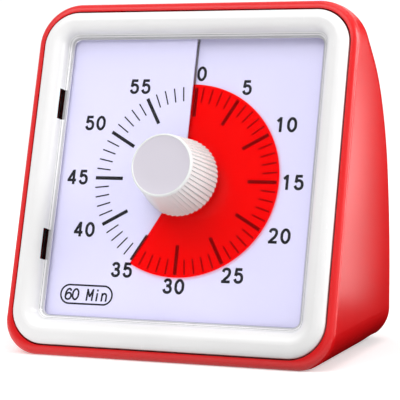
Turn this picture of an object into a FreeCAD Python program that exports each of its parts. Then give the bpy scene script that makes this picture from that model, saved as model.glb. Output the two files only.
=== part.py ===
import FreeCAD, Part
import math
import os

# Desk countdown timer. Every size is in millimetres, +Z is up and the dial faces -Y.
# Two frames are used. The desk frame has its origin under the middle of the object.
# The dial frame lies in the leaning face: x to the viewer's right, y up the face,
# z straight out of the face, with its origin in the middle of the bezel edge.

# Sizes of the housing
FACE_LEAN = 16.3
BEZEL_WIDTH = 85.1
BEZEL_HEIGHT = 90.0
BEZEL_CORNER = 9.2
BEZEL_GAP = 0.42
LIP_SIDE = 2.45
LIP_TOP = 2.4
LIP_BOTTOM = 3.3
LIP_ROUND = 2.1
OUTER_CORNER_TOP = 11.6
OUTER_CORNER_BOTTOM = 9.5
WALL = 2.0
BACK_DEPTH = 51.3
BACK_STRAIGHT_SHARE = 0.18222
LOWER_BACK_SHARE = 1.77778
LOWER_BACK_TURN = 12.0
MIDDLE_BACK_SHARE = 0.77778
MIDDLE_BACK_TURN = 18.0
UPPER_BACK_SHARE = 0.5
UPPER_BACK_TURN = 20.0
BACK_ROUND = 8.0

# Sizes of the bezel frame
PILLOW_RISE = 1.5
PILLOW_OUTER_RUN = 2.8
PILLOW_INNER_RUN = 3.4
CREASE_DEPTH = 1.8
WINDOW_DEPTH = 2.8
BEVEL_RUN = 1.1
LEDGE_THICKNESS = 0.65
WINDOW_CORNER = 2.0
WINDOW_UP = 0.7
FRAME_WALL = 1.6
FRAME_CHANNEL_TOP = -0.6
POST_X = 39.2
POST_Y = 32.0
POST_RADIUS = 2.4
POST_END = -12.0
SLOT_LENGTH = 8.2
SLOT_HEIGHT = 1.5
SLOT_WALL = 1.0
SLOT_REACH = 0.8
SLOT_SPACING = 38.3

# Sizes of the clear lens
LENS_THICKNESS = 0.8
LENS_GAP = 0.08
LENS_SINK = 0.15
LENS_HOLE_RADIUS = 5.0
TAB_LENGTH = 7.8
TAB_REACH = 0.8
TAB_THICKNESS = 0.6

# Sizes of the dial: the card and the film are one helical turn each
DIAL_UP = 0.4
DIAL_PITCH = 1.4
CARD_START = -5.46
CARD_THICKNESS = 0.45
CARD_OVERLAP = 1.6
CARD_HOLE_RADIUS = 5.3
CARD_SLIT = 0.3
CARD_CORNER = 2.0
FILM_RADIUS = 25.9
FILM_THICKNESS = 0.22
FILM_END_GAP = 2.0
FILM_REST_TURN = 210.0
HUB_RADIUS = 4.5
HUB_HEIGHT = 2.0
HUB_BELOW = 0.14
TRAY_FLOOR_TOP = -6.8
TRAY_FLOOR = 1.4
TRAY_RIM = 1.6
TRAY_BOSS_TOP = -5.9
TRAY_EAR_RADIUS = 3.6

# Sizes of the knob and its shaft
SHAFT_RADIUS = 1.5
SHAFT_FLAT = 0.35
RUNNING_FIT = 0.06
SHAFT_TOP = 8.5
KNOB_BASE = -1.5
KNOB_TOP = 12.5
KNOB_BASE_RADIUS = 10.4
KNOB_FRONT_RADIUS = 8.2
KNOB_RIBS = 48
RIB_DEPTH = 0.6
KNOB_CHAMFER = 0.6
KNOB_RECESS_RADIUS = 7.6
KNOB_RECESS_DEPTH = 5.0
KNOB_HUB_RADIUS = 3.4

# Sizes of the movement case
CASE_HALF = 28.5
CASE_TOP = -8.25
CASE_SPLIT = -15.0
CASE_BOTTOM = -21.9
CASE_WALL = 1.2
CASE_CORNER = 4.0
EAR_X = 31.8
EAR_Y = 12.0
EAR_RADIUS = 3.4
EAR_THICKNESS = 2.0
NEAR_REST = (-11.0, -9.2, 14.0, 16.0)
FAR_REST = (20.0, 22.6, -4.0, 4.0)

# Sizes of the gear train: teeth, modules and the directions of the arbors
CENTRE_TEETH = 60
THIRD_PINION_TEETH = 8
CENTRE_MODULE = 0.5
THIRD_TEETH = 64
FOURTH_PINION_TEETH = 8
THIRD_MODULE = 0.4
FOURTH_TEETH = 60
FIFTH_PINION_TEETH = 12
FOURTH_MODULE = 0.3
FIFTH_TEETH = 72
ROTOR_PINION_TEETH = 12
FIFTH_MODULE = 0.22
THIRD_DIRECTION = 225.0
FOURTH_DIRECTION = -20.0
FIFTH_DIRECTION = 20.0
ROTOR_DIRECTION = 45.0
ARBOR_RADIUS = 0.4
ARBOR_FIT = 0.05
PIVOT_DEPTH = 0.6
WHEEL_THICKNESS = 0.8
WHEEL_WINDOWS = 5
WHEEL_WINDOW_RADIUS = 3.0
WINDOW_CIRCLE = 8.5
CENTRE_LEVEL = -11.8
THIRD_LEVEL = -14.2
FOURTH_LEVEL = -16.5
FIFTH_LEVEL = -18.6
PINION_EXTRA = 0.3
MAGNET_RADIUS = 2.7
MAGNET_HEIGHT = 3.0
MAGNET_LEVEL = -15.6
STATOR_LEVEL = -14.4
STATOR_THICKNESS = 0.8
STATOR_AIR_GAP = 0.6
STATOR_RING_HALF = 5.0
STATOR_RING_LEFT = 4.7
STATOR_RING_RIGHT = 5.3
STATOR_BAR = 3.0
STATOR_BAR_TOP = 10.0
STATOR_LEG = 4.0
STATOR_LEG_OVER = 2.5
COIL_Y = 20.5
COIL_START_X = -8.0
COIL_END_X = 18.0
BOBBIN_RADIUS = 4.2
BOBBIN_FLANGE = 1.0
BOBBIN_SLEEVE = 2.25
WINDING_RADIUS = 3.9
CORE_WIDTH = 3.0
CORE_THICKNESS = 0.8
CAM_RADIUS = 4.5
CAM_LEVEL = -18.2
CAM_THICKNESS = 1.0
CAM_NOTCH = 1.0
CAM_NOTCH_ANGLE = math.pi / 3.0
LEAF_GAP = 0.35
LEAF_THICKNESS = 0.3
LEAF_FOOT_X = -21.0
SPRING_RADIUS = 3.2
SPRING_THICKNESS = 0.55
SPRING_SLOTS = 3
SPRING_SLOT = 0.7
COLLAR_RADIUS = 3.0
COLLAR_THICKNESS = 0.6

# Sizes of the electronics
BOARD_WIDTH = 44.0
BOARD_HEIGHT = 34.0
BOARD_THICKNESS = 1.6
BOARD_STANDOFF = 2.6
BOARD_HOLE_INSET = 3.0
CHIP_RADIUS = 5.0
CHIP_HEIGHT = 1.8
CRYSTAL_RADIUS = 1.5
CRYSTAL_LENGTH = 8.0
CAPACITOR_RADIUS = 2.5
CAPACITOR_HEIGHT = 6.5
BUZZER_RADIUS = 6.0
BUZZER_HEIGHT = 6.5
BUZZER_X = -15.0
BUZZER_Z = 47.0
SOUND_HOLE_RADIUS = 0.8
SOUND_HOLE_CIRCLE = 3.4
SWITCH_X = 15.0
SWITCH_Z = 48.0
SWITCH_LENGTH = 12.0
SWITCH_HEIGHT = 6.0
SWITCH_DEPTH = 4.5
SWITCH_PIN_PITCH = 2.5
SLIDER_TRAVEL = 4.0
SLIDER_STEM = 3.0
SLIDER_STEM_HEIGHT = 2.6
LEAD_RADIUS = 0.6
LEAD_FIRST_RUN = 6.5
LEAD_LAST_RUN = 7.0
LEAD_X = 12.0
LEAD_Y = -10.0
BEND_SHARE = 0.45
BUZZER_SINK = 7.0
BUZZER_WALL = 1.6
SEAT_GAP = 0.05
BUZZER_MOUTH = 1.2
SOUND_ROOM_SINK = 5.6
SOUND_HOLES_AROUND = 6
SWITCH_SINK = 6.6
SWITCH_ROOM_SINK = 5.9
SWITCH_WALL = 1.5
STEM_SIDE_GAP = 0.5
STEM_HEIGHT_GAP = 0.4
CHIP_Y = 2.0
CRYSTAL_INSET = 13.5
CRYSTAL_Y = -6.0
CRYSTAL_LEG = 0.4
CAPACITOR_X = -12.0
CAPACITOR_Y = 4.0

# Sizes of the battery bay and its cell
CELL_RADIUS = 7.1
CELL_LENGTH = 49.2
CELL_NUB_RADIUS = 2.7
CELL_NUB = 1.3
BAY_HALF_LENGTH = 29.0
BAY_BOTTOM = 9.0
BAY_TOP = 27.6
BAY_DEPTH = 17.5
BAY_WALL = 1.5
DOOR_GAP = 0.3
DOOR_PIN_RADIUS = 0.6
CELL_CLEARANCE = 0.8
CELL_EDGE_ROUND = 0.6
CONTACT_HALF = 5.0
CONTACT_THICKNESS = 0.4
CONTACT_TAB_HALF = 1.0
CONTACT_TAB_REACH = 2.8
CONTACT_TAB_GAP = 0.2
SPRING_WIRE = 0.4
SPRING_TURNS = 3
SPRING_COIL_RADIUS = 4.0
SPRING_CONE = 12.0
GRIP_RADIUS = 6.0

# Sizes of the screws
HOUSING_SCREW_RADIUS = 1.2
HOUSING_SCREW_HEAD = 2.5
HOUSING_SCREW_HEAD_HEIGHT = 1.8
TUBE_RADIUS = 4.2
TUBE_BORE = 2.75
TUBE_WEB = 2.0
SMALL_SCREW_RADIUS = 0.8
SMALL_SCREW_HEAD = 1.9
SMALL_SCREW_HEAD_HEIGHT = 1.2
SHANK_CLEARANCE = 0.2
HEAD_CLEARANCE = 0.35
POST_SEAT_GAP = 0.2

# Values that follow from the sizes above
LEAN = math.radians(FACE_LEAN)
HOUSING_WIDTH = BEZEL_WIDTH + 2.0 * LIP_SIDE
FACE_TOP = BEZEL_HEIGHT / 2.0 + LIP_TOP
FACE_BOTTOM = -BEZEL_HEIGHT / 2.0 - LIP_BOTTOM
FACE_Z = -FACE_BOTTOM * math.cos(LEAN)
BACK_STRAIGHT_TOP = BEZEL_HEIGHT * BACK_STRAIGHT_SHARE
LOWER_BACK_RADIUS = BEZEL_HEIGHT * LOWER_BACK_SHARE
MIDDLE_BACK_RADIUS = BEZEL_HEIGHT * MIDDLE_BACK_SHARE
UPPER_BACK_RADIUS = BEZEL_HEIGHT * UPPER_BACK_SHARE
KNOB_LOW_EDGE = DIAL_UP - KNOB_FRONT_RADIUS + KNOB_CHAMFER
FRONT_REACH = KNOB_TOP * math.cos(LEAN) - KNOB_LOW_EDGE * math.sin(LEAN)
FACE_Y = (FRONT_REACH - BACK_DEPTH) / 2.0
BACK_Y = FACE_Y + BACK_DEPTH
WINDOW_WIDTH = BEZEL_WIDTH - 2.0 * (PILLOW_OUTER_RUN + PILLOW_INNER_RUN + BEVEL_RUN)
WINDOW_HEIGHT = BEZEL_HEIGHT - 2.0 * (PILLOW_OUTER_RUN + PILLOW_INNER_RUN + BEVEL_RUN)
CREASE_WIDTH = WINDOW_WIDTH + 2.0 * BEVEL_RUN
CREASE_HEIGHT = WINDOW_HEIGHT + 2.0 * BEVEL_RUN
CREASE_CORNER = WINDOW_CORNER + 0.8
FRAME_UNDER = -WINDOW_DEPTH - LEDGE_THICKNESS
CARD_WIDTH = WINDOW_WIDTH + 2.0 * CARD_OVERLAP
CARD_HEIGHT = WINDOW_HEIGHT + 2.0 * CARD_OVERLAP
DISC_GAP = DIAL_PITCH / 2.0
TRAY_UNDER = TRAY_FLOOR_TOP - TRAY_FLOOR
BIG = 200.0
POSTS = [(sx * POST_X, sy * POST_Y) for sx in (-1, 1) for sy in (-1, 1)]
EARS = [(sx * EAR_X, sy * EAR_Y) for sx in (-1, 1) for sy in (-1, 1)]
BOARD_HOLE_X = BOARD_WIDTH / 2.0 - BOARD_HOLE_INSET
BOARD_HOLE_Y = BOARD_HEIGHT / 2.0 - BOARD_HOLE_INSET
CRYSTAL_X = BOARD_WIDTH / 2.0 - CRYSTAL_INSET
BOARD_HOLES = [(sx * BOARD_HOLE_X, sy * BOARD_HOLE_Y) for sx in (-1, 1) for sy in (-1, 1)]
BOARD_FACE = CASE_BOTTOM - BOARD_STANDOFF
BOARD_BACK = BOARD_FACE - BOARD_THICKNESS
CORE_Z = STATOR_LEVEL - CORE_THICKNESS / 2.0
SMALL_SCREW = (SMALL_SCREW_RADIUS, SMALL_SCREW_HEAD, SMALL_SCREW_HEAD_HEIGHT)
WEB_TOP = POST_END - POST_SEAT_GAP
WEB_UNDER = WEB_TOP - TUBE_WEB
BUZZER_BACK = BACK_Y - BUZZER_SINK
BUZZER_FRONT = BUZZER_BACK - BUZZER_HEIGHT
SWITCH_BACK = BACK_Y - SWITCH_SINK
SWITCH_FRONT = SWITCH_BACK - SWITCH_DEPTH
HINGE_Y = BACK_Y - WALL / 2.0
HINGE_Z = BAY_BOTTOM + DOOR_GAP + WALL / 2.0
CELL_Y = BACK_Y - WALL - CELL_CLEARANCE - CELL_RADIUS
CELL_Z = (BAY_BOTTOM + BAY_TOP) / 2.0
BAY_FRONT = BACK_Y - BAY_DEPTH

FACE_MATRIX = FreeCAD.Matrix()
FACE_MATRIX.rotateX(math.pi / 2.0 - LEAN)
FACE_MATRIX.move(FreeCAD.Vector(0.0, FACE_Y, FACE_Z))


def vec(x, y, z):
    return FreeCAD.Vector(x, y, z)


def to_desk(shape):
    """Carry a shape from the dial frame to the desk frame."""
    placed = shape.copy()
    placed.transformShape(FACE_MATRIX)
    return placed


def dial_shape(shape):
    """Carry a shape drawn about the shaft to the desk frame."""
    placed = shape.copy()
    placed.translate(vec(0.0, DIAL_UP, 0.0))
    return to_desk(placed)


def desk_point(x, y, z):
    """Give the desk position of a point that is stated about the shaft."""
    return FACE_MATRIX.multVec(vec(x, y + DIAL_UP, z))


def box(x0, x1, y0, y1, z0, z1):
    return Part.makeBox(x1 - x0, y1 - y0, z1 - z0, vec(x0, y0, z0))


def disc(radius, low, high, x=0.0, y=0.0):
    return Part.makeCylinder(radius, high - low, vec(x, y, low), vec(0, 0, 1))


def ring(outer, inner, low, high, x=0.0, y=0.0):
    return disc(outer, low, high, x, y).cut(disc(inner, low - 1.0, high + 1.0, x, y))


def union(shapes):
    first = shapes[0]
    if len(shapes) == 1:
        return first
    return first.fuse(shapes[1:]).removeSplitter()


def rounded_wire(left, right, bottom, top, low_radius, high_radius, z):
    """Draw a rectangle whose lower and upper corners have their own radii."""
    points = []
    corners = (
        (right - low_radius, bottom + low_radius, low_radius, -90.0),
        (right - high_radius, top - high_radius, high_radius, 0.0),
        (left + high_radius, top - high_radius, high_radius, 90.0),
        (left + low_radius, bottom + low_radius, low_radius, 180.0),
    )
    for cx, cy, radius, start in corners:
        arc = []
        for step in (0.0, 45.0, 90.0):
            angle = math.radians(start + step)
            arc.append(vec(cx + radius * math.cos(angle), cy + radius * math.sin(angle), z))
        points.append(arc)
    edges = []
    for index, arc in enumerate(points):
        before = points[index - 1][2]
        edges.append(Part.makeLine(before, arc[0]))
        edges.append(Part.Arc(arc[0], arc[1], arc[2]).toShape())
    return Part.Wire(edges)


def centred_wire(width, height, radius, z, up=0.0):
    half_width = width / 2.0
    half_height = height / 2.0
    return rounded_wire(
        -half_width, half_width, up - half_height, up + half_height, radius, radius, z
    )


def rounded_block(width, height, radius, low, high, up=0.0):
    face = Part.Face(centred_wire(width, height, radius, low, up))
    return face.extrude(vec(0, 0, high - low))


def back_profile(inset):
    """Draw the side view of the back as arcs that turn from upright towards the front."""
    arcs = (
        (LOWER_BACK_RADIUS, LOWER_BACK_TURN),
        (MIDDLE_BACK_RADIUS, MIDDLE_BACK_TURN),
        (UPPER_BACK_RADIUS, UPPER_BACK_TURN),
    )
    low = vec(0.0, BACK_Y - inset, -BIG)
    corner = vec(0.0, BACK_Y - inset, BACK_STRAIGHT_TOP)
    edges = [Part.makeLine(low, corner)]
    centre = vec(0.0, BACK_Y - LOWER_BACK_RADIUS, BACK_STRAIGHT_TOP)
    angle = 0.0
    last_radius = LOWER_BACK_RADIUS
    for radius, turn in arcs:
        shift = last_radius - radius
        centre = centre + vec(0.0, shift * math.cos(angle), shift * math.sin(angle))
        ends = []
        for share in (0.0, 0.5, 1.0):
            at = angle + share * math.radians(turn)
            reach = radius - inset
            ends.append(centre + vec(0.0, reach * math.cos(at), reach * math.sin(at)))
        edges.append(Part.Arc(ends[0], ends[1], ends[2]).toShape())
        angle = angle + math.radians(turn)
        last_radius = radius
        corner = ends[2]
    rise = BIG - corner.z
    high = corner + vec(0.0, -rise * math.tan(angle), rise)
    front_high = vec(0.0, high.y - BIG, BIG)
    front_low = vec(0.0, high.y - BIG, -BIG)
    edges.append(Part.makeLine(corner, high))
    edges.append(Part.makeLine(high, front_high))
    edges.append(Part.makeLine(front_high, front_low))
    edges.append(Part.makeLine(front_low, low))
    return Part.Wire(edges)


def wedge(outline, inset, back_round):
    """Run a face outline straight back, end it on the back profile and round that edge."""
    front = outline.copy()
    front.transformShape(FACE_MATRIX)
    prism = Part.Face(front).extrude(vec(0.0, BIG, 0.0))
    side = Part.Face(back_profile(inset)).extrude(vec(BIG, 0.0, 0.0))
    side.translate(vec(-BIG / 2.0, 0.0, 0.0))
    body = prism.common(side).removeSplitter().Solids[0]
    edges = []
    for edge in body.Edges:
        kinds = set()
        for face in body.ancestorsOfType(edge, Part.Face):
            kinds.add(is_back_face(face))
        if len(kinds) == 2 and not lies_in_face(edge):
            edges.append(edge)
    return body.makeFillet(back_round, edges)


def is_back_face(face):
    low_u, high_u, low_v, high_v = face.ParameterRange
    normal = face.normalAt((low_u + high_u) / 2.0, (low_v + high_v) / 2.0)
    return abs(normal.x) < 1e-6 and normal.y > 0.05


def lies_in_face(edge):
    """Say whether an edge lies in the plane of the leaning face."""
    outward = vec(0.0, -math.cos(LEAN), math.sin(LEAN))
    middle = vec(0.0, FACE_Y, FACE_Z)
    points = [vertex.Point for vertex in edge.Vertexes]
    points.append(edge.CenterOfMass)
    return all(abs((point - middle).dot(outward)) < 1e-4 for point in points)


def outer_body():
    half = HOUSING_WIDTH / 2.0
    outline = rounded_wire(
        -half, half, FACE_BOTTOM, FACE_TOP, OUTER_CORNER_BOTTOM, OUTER_CORNER_TOP, 0.0
    )
    body = wedge(outline, 0.0, BACK_ROUND)
    rim = [edge for edge in body.Edges if lies_in_face(edge)]
    return body.makeFillet(LIP_ROUND, rim)


def inner_room():
    outline = centred_wire(
        BEZEL_WIDTH + 2.0 * BEZEL_GAP,
        BEZEL_HEIGHT + 2.0 * BEZEL_GAP,
        BEZEL_CORNER + BEZEL_GAP,
        0.0,
    )
    room = wedge(outline, WALL, BACK_ROUND - WALL)
    seat = Part.Face(outline).extrude(vec(0.0, 0.0, FRAME_UNDER - 0.15))
    return room.fuse(to_desk(seat))


def desk_disc(radius, y0, y1, x, z):
    """Make a round bar that runs along the desk frame's Y."""
    return Part.makeCylinder(radius, y1 - y0, vec(x, y0, z), vec(0, 1, 0))


def hinge_bar(radius, half):
    """Make a round bar along the door's hinge line."""
    return Part.makeCylinder(radius, 2.0 * half, vec(-half, HINGE_Y, HINGE_Z), vec(1, 0, 0))


def switch_box(grow, y0, y1):
    half_length = SWITCH_LENGTH / 2.0 + grow
    half_height = SWITCH_HEIGHT / 2.0 + grow
    return box(
        SWITCH_X - half_length,
        SWITCH_X + half_length,
        y0,
        y1,
        SWITCH_Z - half_height,
        SWITCH_Z + half_height,
    )


def rear_housing():
    outer = outer_body()
    shell = outer.cut(inner_room())
    added = [
        box(
            -BAY_HALF_LENGTH - BAY_WALL,
            BAY_HALF_LENGTH + BAY_WALL,
            BAY_FRONT - BAY_WALL,
            BACK_Y + 1.0,
            BAY_BOTTOM - BAY_WALL,
            BAY_TOP + BAY_WALL,
        ),
        desk_disc(BUZZER_RADIUS + BUZZER_WALL, BUZZER_FRONT, BACK_Y, BUZZER_X, BUZZER_Z),
        switch_box(SWITCH_WALL, SWITCH_FRONT, BACK_Y),
    ]
    for x, y in POSTS:
        added.append(to_desk(disc(TUBE_RADIUS, -BIG / 2.0, TRAY_UNDER, x, y)))
    inside = [piece.common(outer) for piece in added]
    shell = union([shell] + inside)
    cutters = [
        box(-BAY_HALF_LENGTH, BAY_HALF_LENGTH, BAY_FRONT, BACK_Y + 5.0, BAY_BOTTOM, BAY_TOP),
        desk_disc(BUZZER_RADIUS + SEAT_GAP, BUZZER_FRONT - 1.0, BUZZER_BACK, BUZZER_X, BUZZER_Z),
        desk_disc(
            BUZZER_RADIUS - 1.0, BUZZER_BACK - 1.0, BACK_Y - SOUND_ROOM_SINK, BUZZER_X, BUZZER_Z
        ),
        switch_box(SEAT_GAP, SWITCH_FRONT - 1.0, BACK_Y - SWITCH_ROOM_SINK),
        box(
            SWITCH_X - (SLIDER_TRAVEL + SLIDER_STEM) / 2.0 - STEM_SIDE_GAP,
            SWITCH_X + (SLIDER_TRAVEL + SLIDER_STEM) / 2.0 + STEM_SIDE_GAP,
            SWITCH_FRONT,
            BACK_Y + 1.0,
            SWITCH_Z - SLIDER_STEM_HEIGHT / 2.0 - STEM_HEIGHT_GAP,
            SWITCH_Z + SLIDER_STEM_HEIGHT / 2.0 + STEM_HEIGHT_GAP,
        ),
    ]
    cutters.append(desk_disc(SOUND_HOLE_RADIUS, BUZZER_FRONT, BACK_Y + 1.0, BUZZER_X, BUZZER_Z))
    for index in range(SOUND_HOLES_AROUND):
        angle = 2.0 * math.pi * index / SOUND_HOLES_AROUND
        x = BUZZER_X + SOUND_HOLE_CIRCLE * math.cos(angle)
        z = BUZZER_Z + SOUND_HOLE_CIRCLE * math.sin(angle)
        cutters.append(desk_disc(SOUND_HOLE_RADIUS, BUZZER_FRONT, BACK_Y + 1.0, x, z))
    shank_bore = HOUSING_SCREW_RADIUS + SHANK_CLEARANCE
    head_bore = HOUSING_SCREW_HEAD + HEAD_CLEARANCE
    for x, y in POSTS:
        cutters.append(to_desk(disc(TUBE_BORE, WEB_TOP, TRAY_UNDER + 1.0, x, y)))
        cutters.append(to_desk(disc(shank_bore, WEB_UNDER - 1.0, WEB_TOP + 1.0, x, y)))
        cutters.append(to_desk(disc(head_bore, -BIG, WEB_UNDER, x, y)))
    cutters.append(hinge_bar(DOOR_PIN_RADIUS + RUNNING_FIT, BAY_HALF_LENGTH + BAY_WALL - 0.3))
    slot_half = CONTACT_TAB_HALF + CONTACT_TAB_GAP
    for side in (-1, 1):
        x = side * (BAY_HALF_LENGTH - CONTACT_THICKNESS)
        cutters.append(
            box(
                x - 0.5,
                x + 0.5,
                BAY_FRONT - CONTACT_TAB_REACH - CONTACT_TAB_GAP,
                BAY_FRONT + 1.0,
                CELL_Z - slot_half,
                CELL_Z + slot_half,
            )
        )
    return shell.cut(cutters).removeSplitter()


def pillow_sections():
    """List size loss and height of the bezel from its outer edge to the crest."""
    sections = []
    for step in range(7):
        angle = math.radians(15.0 * step)
        loss = PILLOW_OUTER_RUN * (1.0 - math.cos(angle))
        sections.append((loss, PILLOW_RISE * math.sin(angle)))
    return sections


def valley_sections():
    """List size loss and height of the bezel from the crest down to the crease."""
    sections = []
    for step in range(7):
        angle = math.radians(15.0 * step)
        loss = PILLOW_OUTER_RUN + PILLOW_INNER_RUN * math.sin(angle)
        drop = (PILLOW_RISE + CREASE_DEPTH) * (1.0 - math.cos(angle))
        sections.append((loss, PILLOW_RISE - drop))
    return sections


def bezel_wire(loss, z):
    share = min(1.0, loss / (PILLOW_OUTER_RUN + PILLOW_INNER_RUN))
    radius = BEZEL_CORNER + (CREASE_CORNER - BEZEL_CORNER) * share
    up = WINDOW_UP * share
    return centred_wire(BEZEL_WIDTH - 2.0 * loss, BEZEL_HEIGHT - 2.0 * loss, radius, z, up)


def bezel_opening():
    """Make the empty room of the bezel above the crease, the bevel and the window."""
    wires = [bezel_wire(loss, z) for loss, z in reversed(valley_sections())]
    valley = Part.makeLoft(wires, True, False)
    bevel = Part.makeLoft(
        [
            centred_wire(WINDOW_WIDTH, WINDOW_HEIGHT, WINDOW_CORNER, -WINDOW_DEPTH, WINDOW_UP),
            centred_wire(CREASE_WIDTH, CREASE_HEIGHT, CREASE_CORNER, -CREASE_DEPTH, WINDOW_UP),
        ],
        True,
        True,
    )
    window = rounded_block(
        WINDOW_WIDTH, WINDOW_HEIGHT, WINDOW_CORNER, FRAME_UNDER - 1.0, -WINDOW_DEPTH, WINDOW_UP
    )
    return [valley, bevel, window]


def slot_centres():
    return (-SLOT_SPACING / 2.0, SLOT_SPACING / 2.0)


def front_frame():
    skirt = rounded_block(BEZEL_WIDTH, BEZEL_HEIGHT, BEZEL_CORNER, FRAME_UNDER, 0.0)
    pillow = Part.makeLoft([bezel_wire(loss, z) for loss, z in pillow_sections()], True, False)
    body = skirt.fuse(pillow)
    channel = rounded_block(
        BEZEL_WIDTH - 2.0 * FRAME_WALL,
        BEZEL_HEIGHT - 2.0 * FRAME_WALL,
        BEZEL_CORNER - FRAME_WALL,
        FRAME_UNDER - 1.0,
        FRAME_CHANNEL_TOP,
    )
    core = rounded_block(
        CREASE_WIDTH + 2.0 * SLOT_WALL,
        CREASE_HEIGHT + 2.0 * SLOT_WALL,
        CREASE_CORNER + SLOT_WALL,
        FRAME_UNDER - 2.0,
        1.0,
        WINDOW_UP,
    )
    body = body.cut(channel.cut(core))
    body = body.cut(bezel_opening())
    posts = [disc(POST_RADIUS, POST_END, FRAME_CHANNEL_TOP + 0.3, x, y) for x, y in POSTS]
    body = union([body] + posts)
    pilot_end = FRAME_UNDER - 1.5
    pilots = [disc(HOUSING_SCREW_RADIUS, POST_END - 1.0, pilot_end, x, y) for x, y in POSTS]
    edge = -CREASE_WIDTH / 2.0
    for y in slot_centres():
        pilots.append(
            box(
                edge - SLOT_WALL - 0.2,
                edge + SLOT_REACH,
                y + WINDOW_UP - SLOT_LENGTH / 2.0,
                y + WINDOW_UP + SLOT_LENGTH / 2.0,
                -WINDOW_DEPTH + 0.15,
                -CREASE_DEPTH + SLOT_HEIGHT,
            )
        )
    return to_desk(body.cut(pilots))


def seat_wire(z, gap):
    """Draw the outline of the bevelled seat at a height, drawn in by a gap."""
    share = (z + WINDOW_DEPTH) / (WINDOW_DEPTH - CREASE_DEPTH)
    grow = BEVEL_RUN * share - gap
    corner = WINDOW_CORNER + (CREASE_CORNER - WINDOW_CORNER) * share - gap
    return centred_wire(WINDOW_WIDTH + 2.0 * grow, WINDOW_HEIGHT + 2.0 * grow, corner, z, WINDOW_UP)


def lens():
    top = -CREASE_DEPTH - LENS_SINK
    under = top - LENS_THICKNESS
    pane = Part.makeLoft([seat_wire(under, LENS_GAP), seat_wire(top, LENS_GAP)], True, True)
    edge = -CREASE_WIDTH / 2.0
    tabs = []
    for y in slot_centres():
        tabs.append(
            box(
                edge - TAB_REACH,
                edge + SLOT_REACH,
                y + WINDOW_UP - TAB_LENGTH / 2.0,
                y + WINDOW_UP + TAB_LENGTH / 2.0,
                top - TAB_THICKNESS,
                top,
            )
        )
    pane = union([pane] + tabs)
    hole = disc(LENS_HOLE_RADIUS, under - 1.0, top + 1.0, 0.0, DIAL_UP)
    return to_desk(pane.cut(hole))


def turn_point(radius, share, z):
    """Give the point that lies a share of one clockwise turn from twelve o'clock."""
    angle = math.radians(90.0 - 360.0 * share)
    return vec(radius * math.cos(angle), radius * math.sin(angle), z)


def helix_edge(radius, z, share):
    """Draw a left-handed helix that starts at twelve o'clock and rises clockwise."""
    wire = Part.makeHelix(DIAL_PITCH, DIAL_PITCH * share, radius, 0.0, True)
    wire.rotate(vec(0, 0, 0), vec(0, 0, 1), 90.0)
    wire.translate(vec(0.0, 0.0, z))
    return wire.Edges[0]


def helical_plate(inner, outer, low, high, share):
    """Make a plate of one shallow turn between two radii and two starting heights."""
    edges = {}
    for name, radius in (("inner", inner), ("outer", outer)):
        for level, z in (("low", low), ("high", high)):
            edges[name + level] = helix_edge(radius, z, share)
    faces = [
        Part.makeRuledSurface(edges["innerlow"], edges["outerlow"]),
        Part.makeRuledSurface(edges["innerhigh"], edges["outerhigh"]),
        Part.makeRuledSurface(edges["innerlow"], edges["innerhigh"]),
        Part.makeRuledSurface(edges["outerlow"], edges["outerhigh"]),
    ]
    for end in (0.0, share):
        rise = DIAL_PITCH * end
        corners = [
            turn_point(inner, end, low + rise),
            turn_point(outer, end, low + rise),
            turn_point(outer, end, high + rise),
            turn_point(inner, end, high + rise),
        ]
        corners.append(corners[0])
        faces.append(Part.Face(Part.makePolygon(corners)))
    shell = Part.makeShell(faces)
    shell.sewShape()
    solid = Part.makeSolid(shell)
    if solid.Volume < 0.0:
        solid.reverse()
    return solid


def dial_card():
    turn = helical_plate(
        CARD_HOLE_RADIUS,
        BEZEL_HEIGHT * 0.7,
        CARD_START - CARD_THICKNESS / 2.0,
        CARD_START + CARD_THICKNESS / 2.0,
        0.9999,
    )
    low = CARD_START - 5.0
    high = CARD_START + 5.0
    sheet = rounded_block(CARD_WIDTH, CARD_HEIGHT, CARD_CORNER, low, high, WINDOW_UP - DIAL_UP)
    notches = [disc(POST_RADIUS + 0.5, -BIG, BIG, x, y - DIAL_UP) for x, y in POSTS]
    slit = box(-CARD_SLIT / 2.0, CARD_SLIT / 2.0, 0.0, BEZEL_HEIGHT, low, high)
    card = turn.common(sheet).cut(notches + [slit])
    return dial_shape(card)


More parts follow.
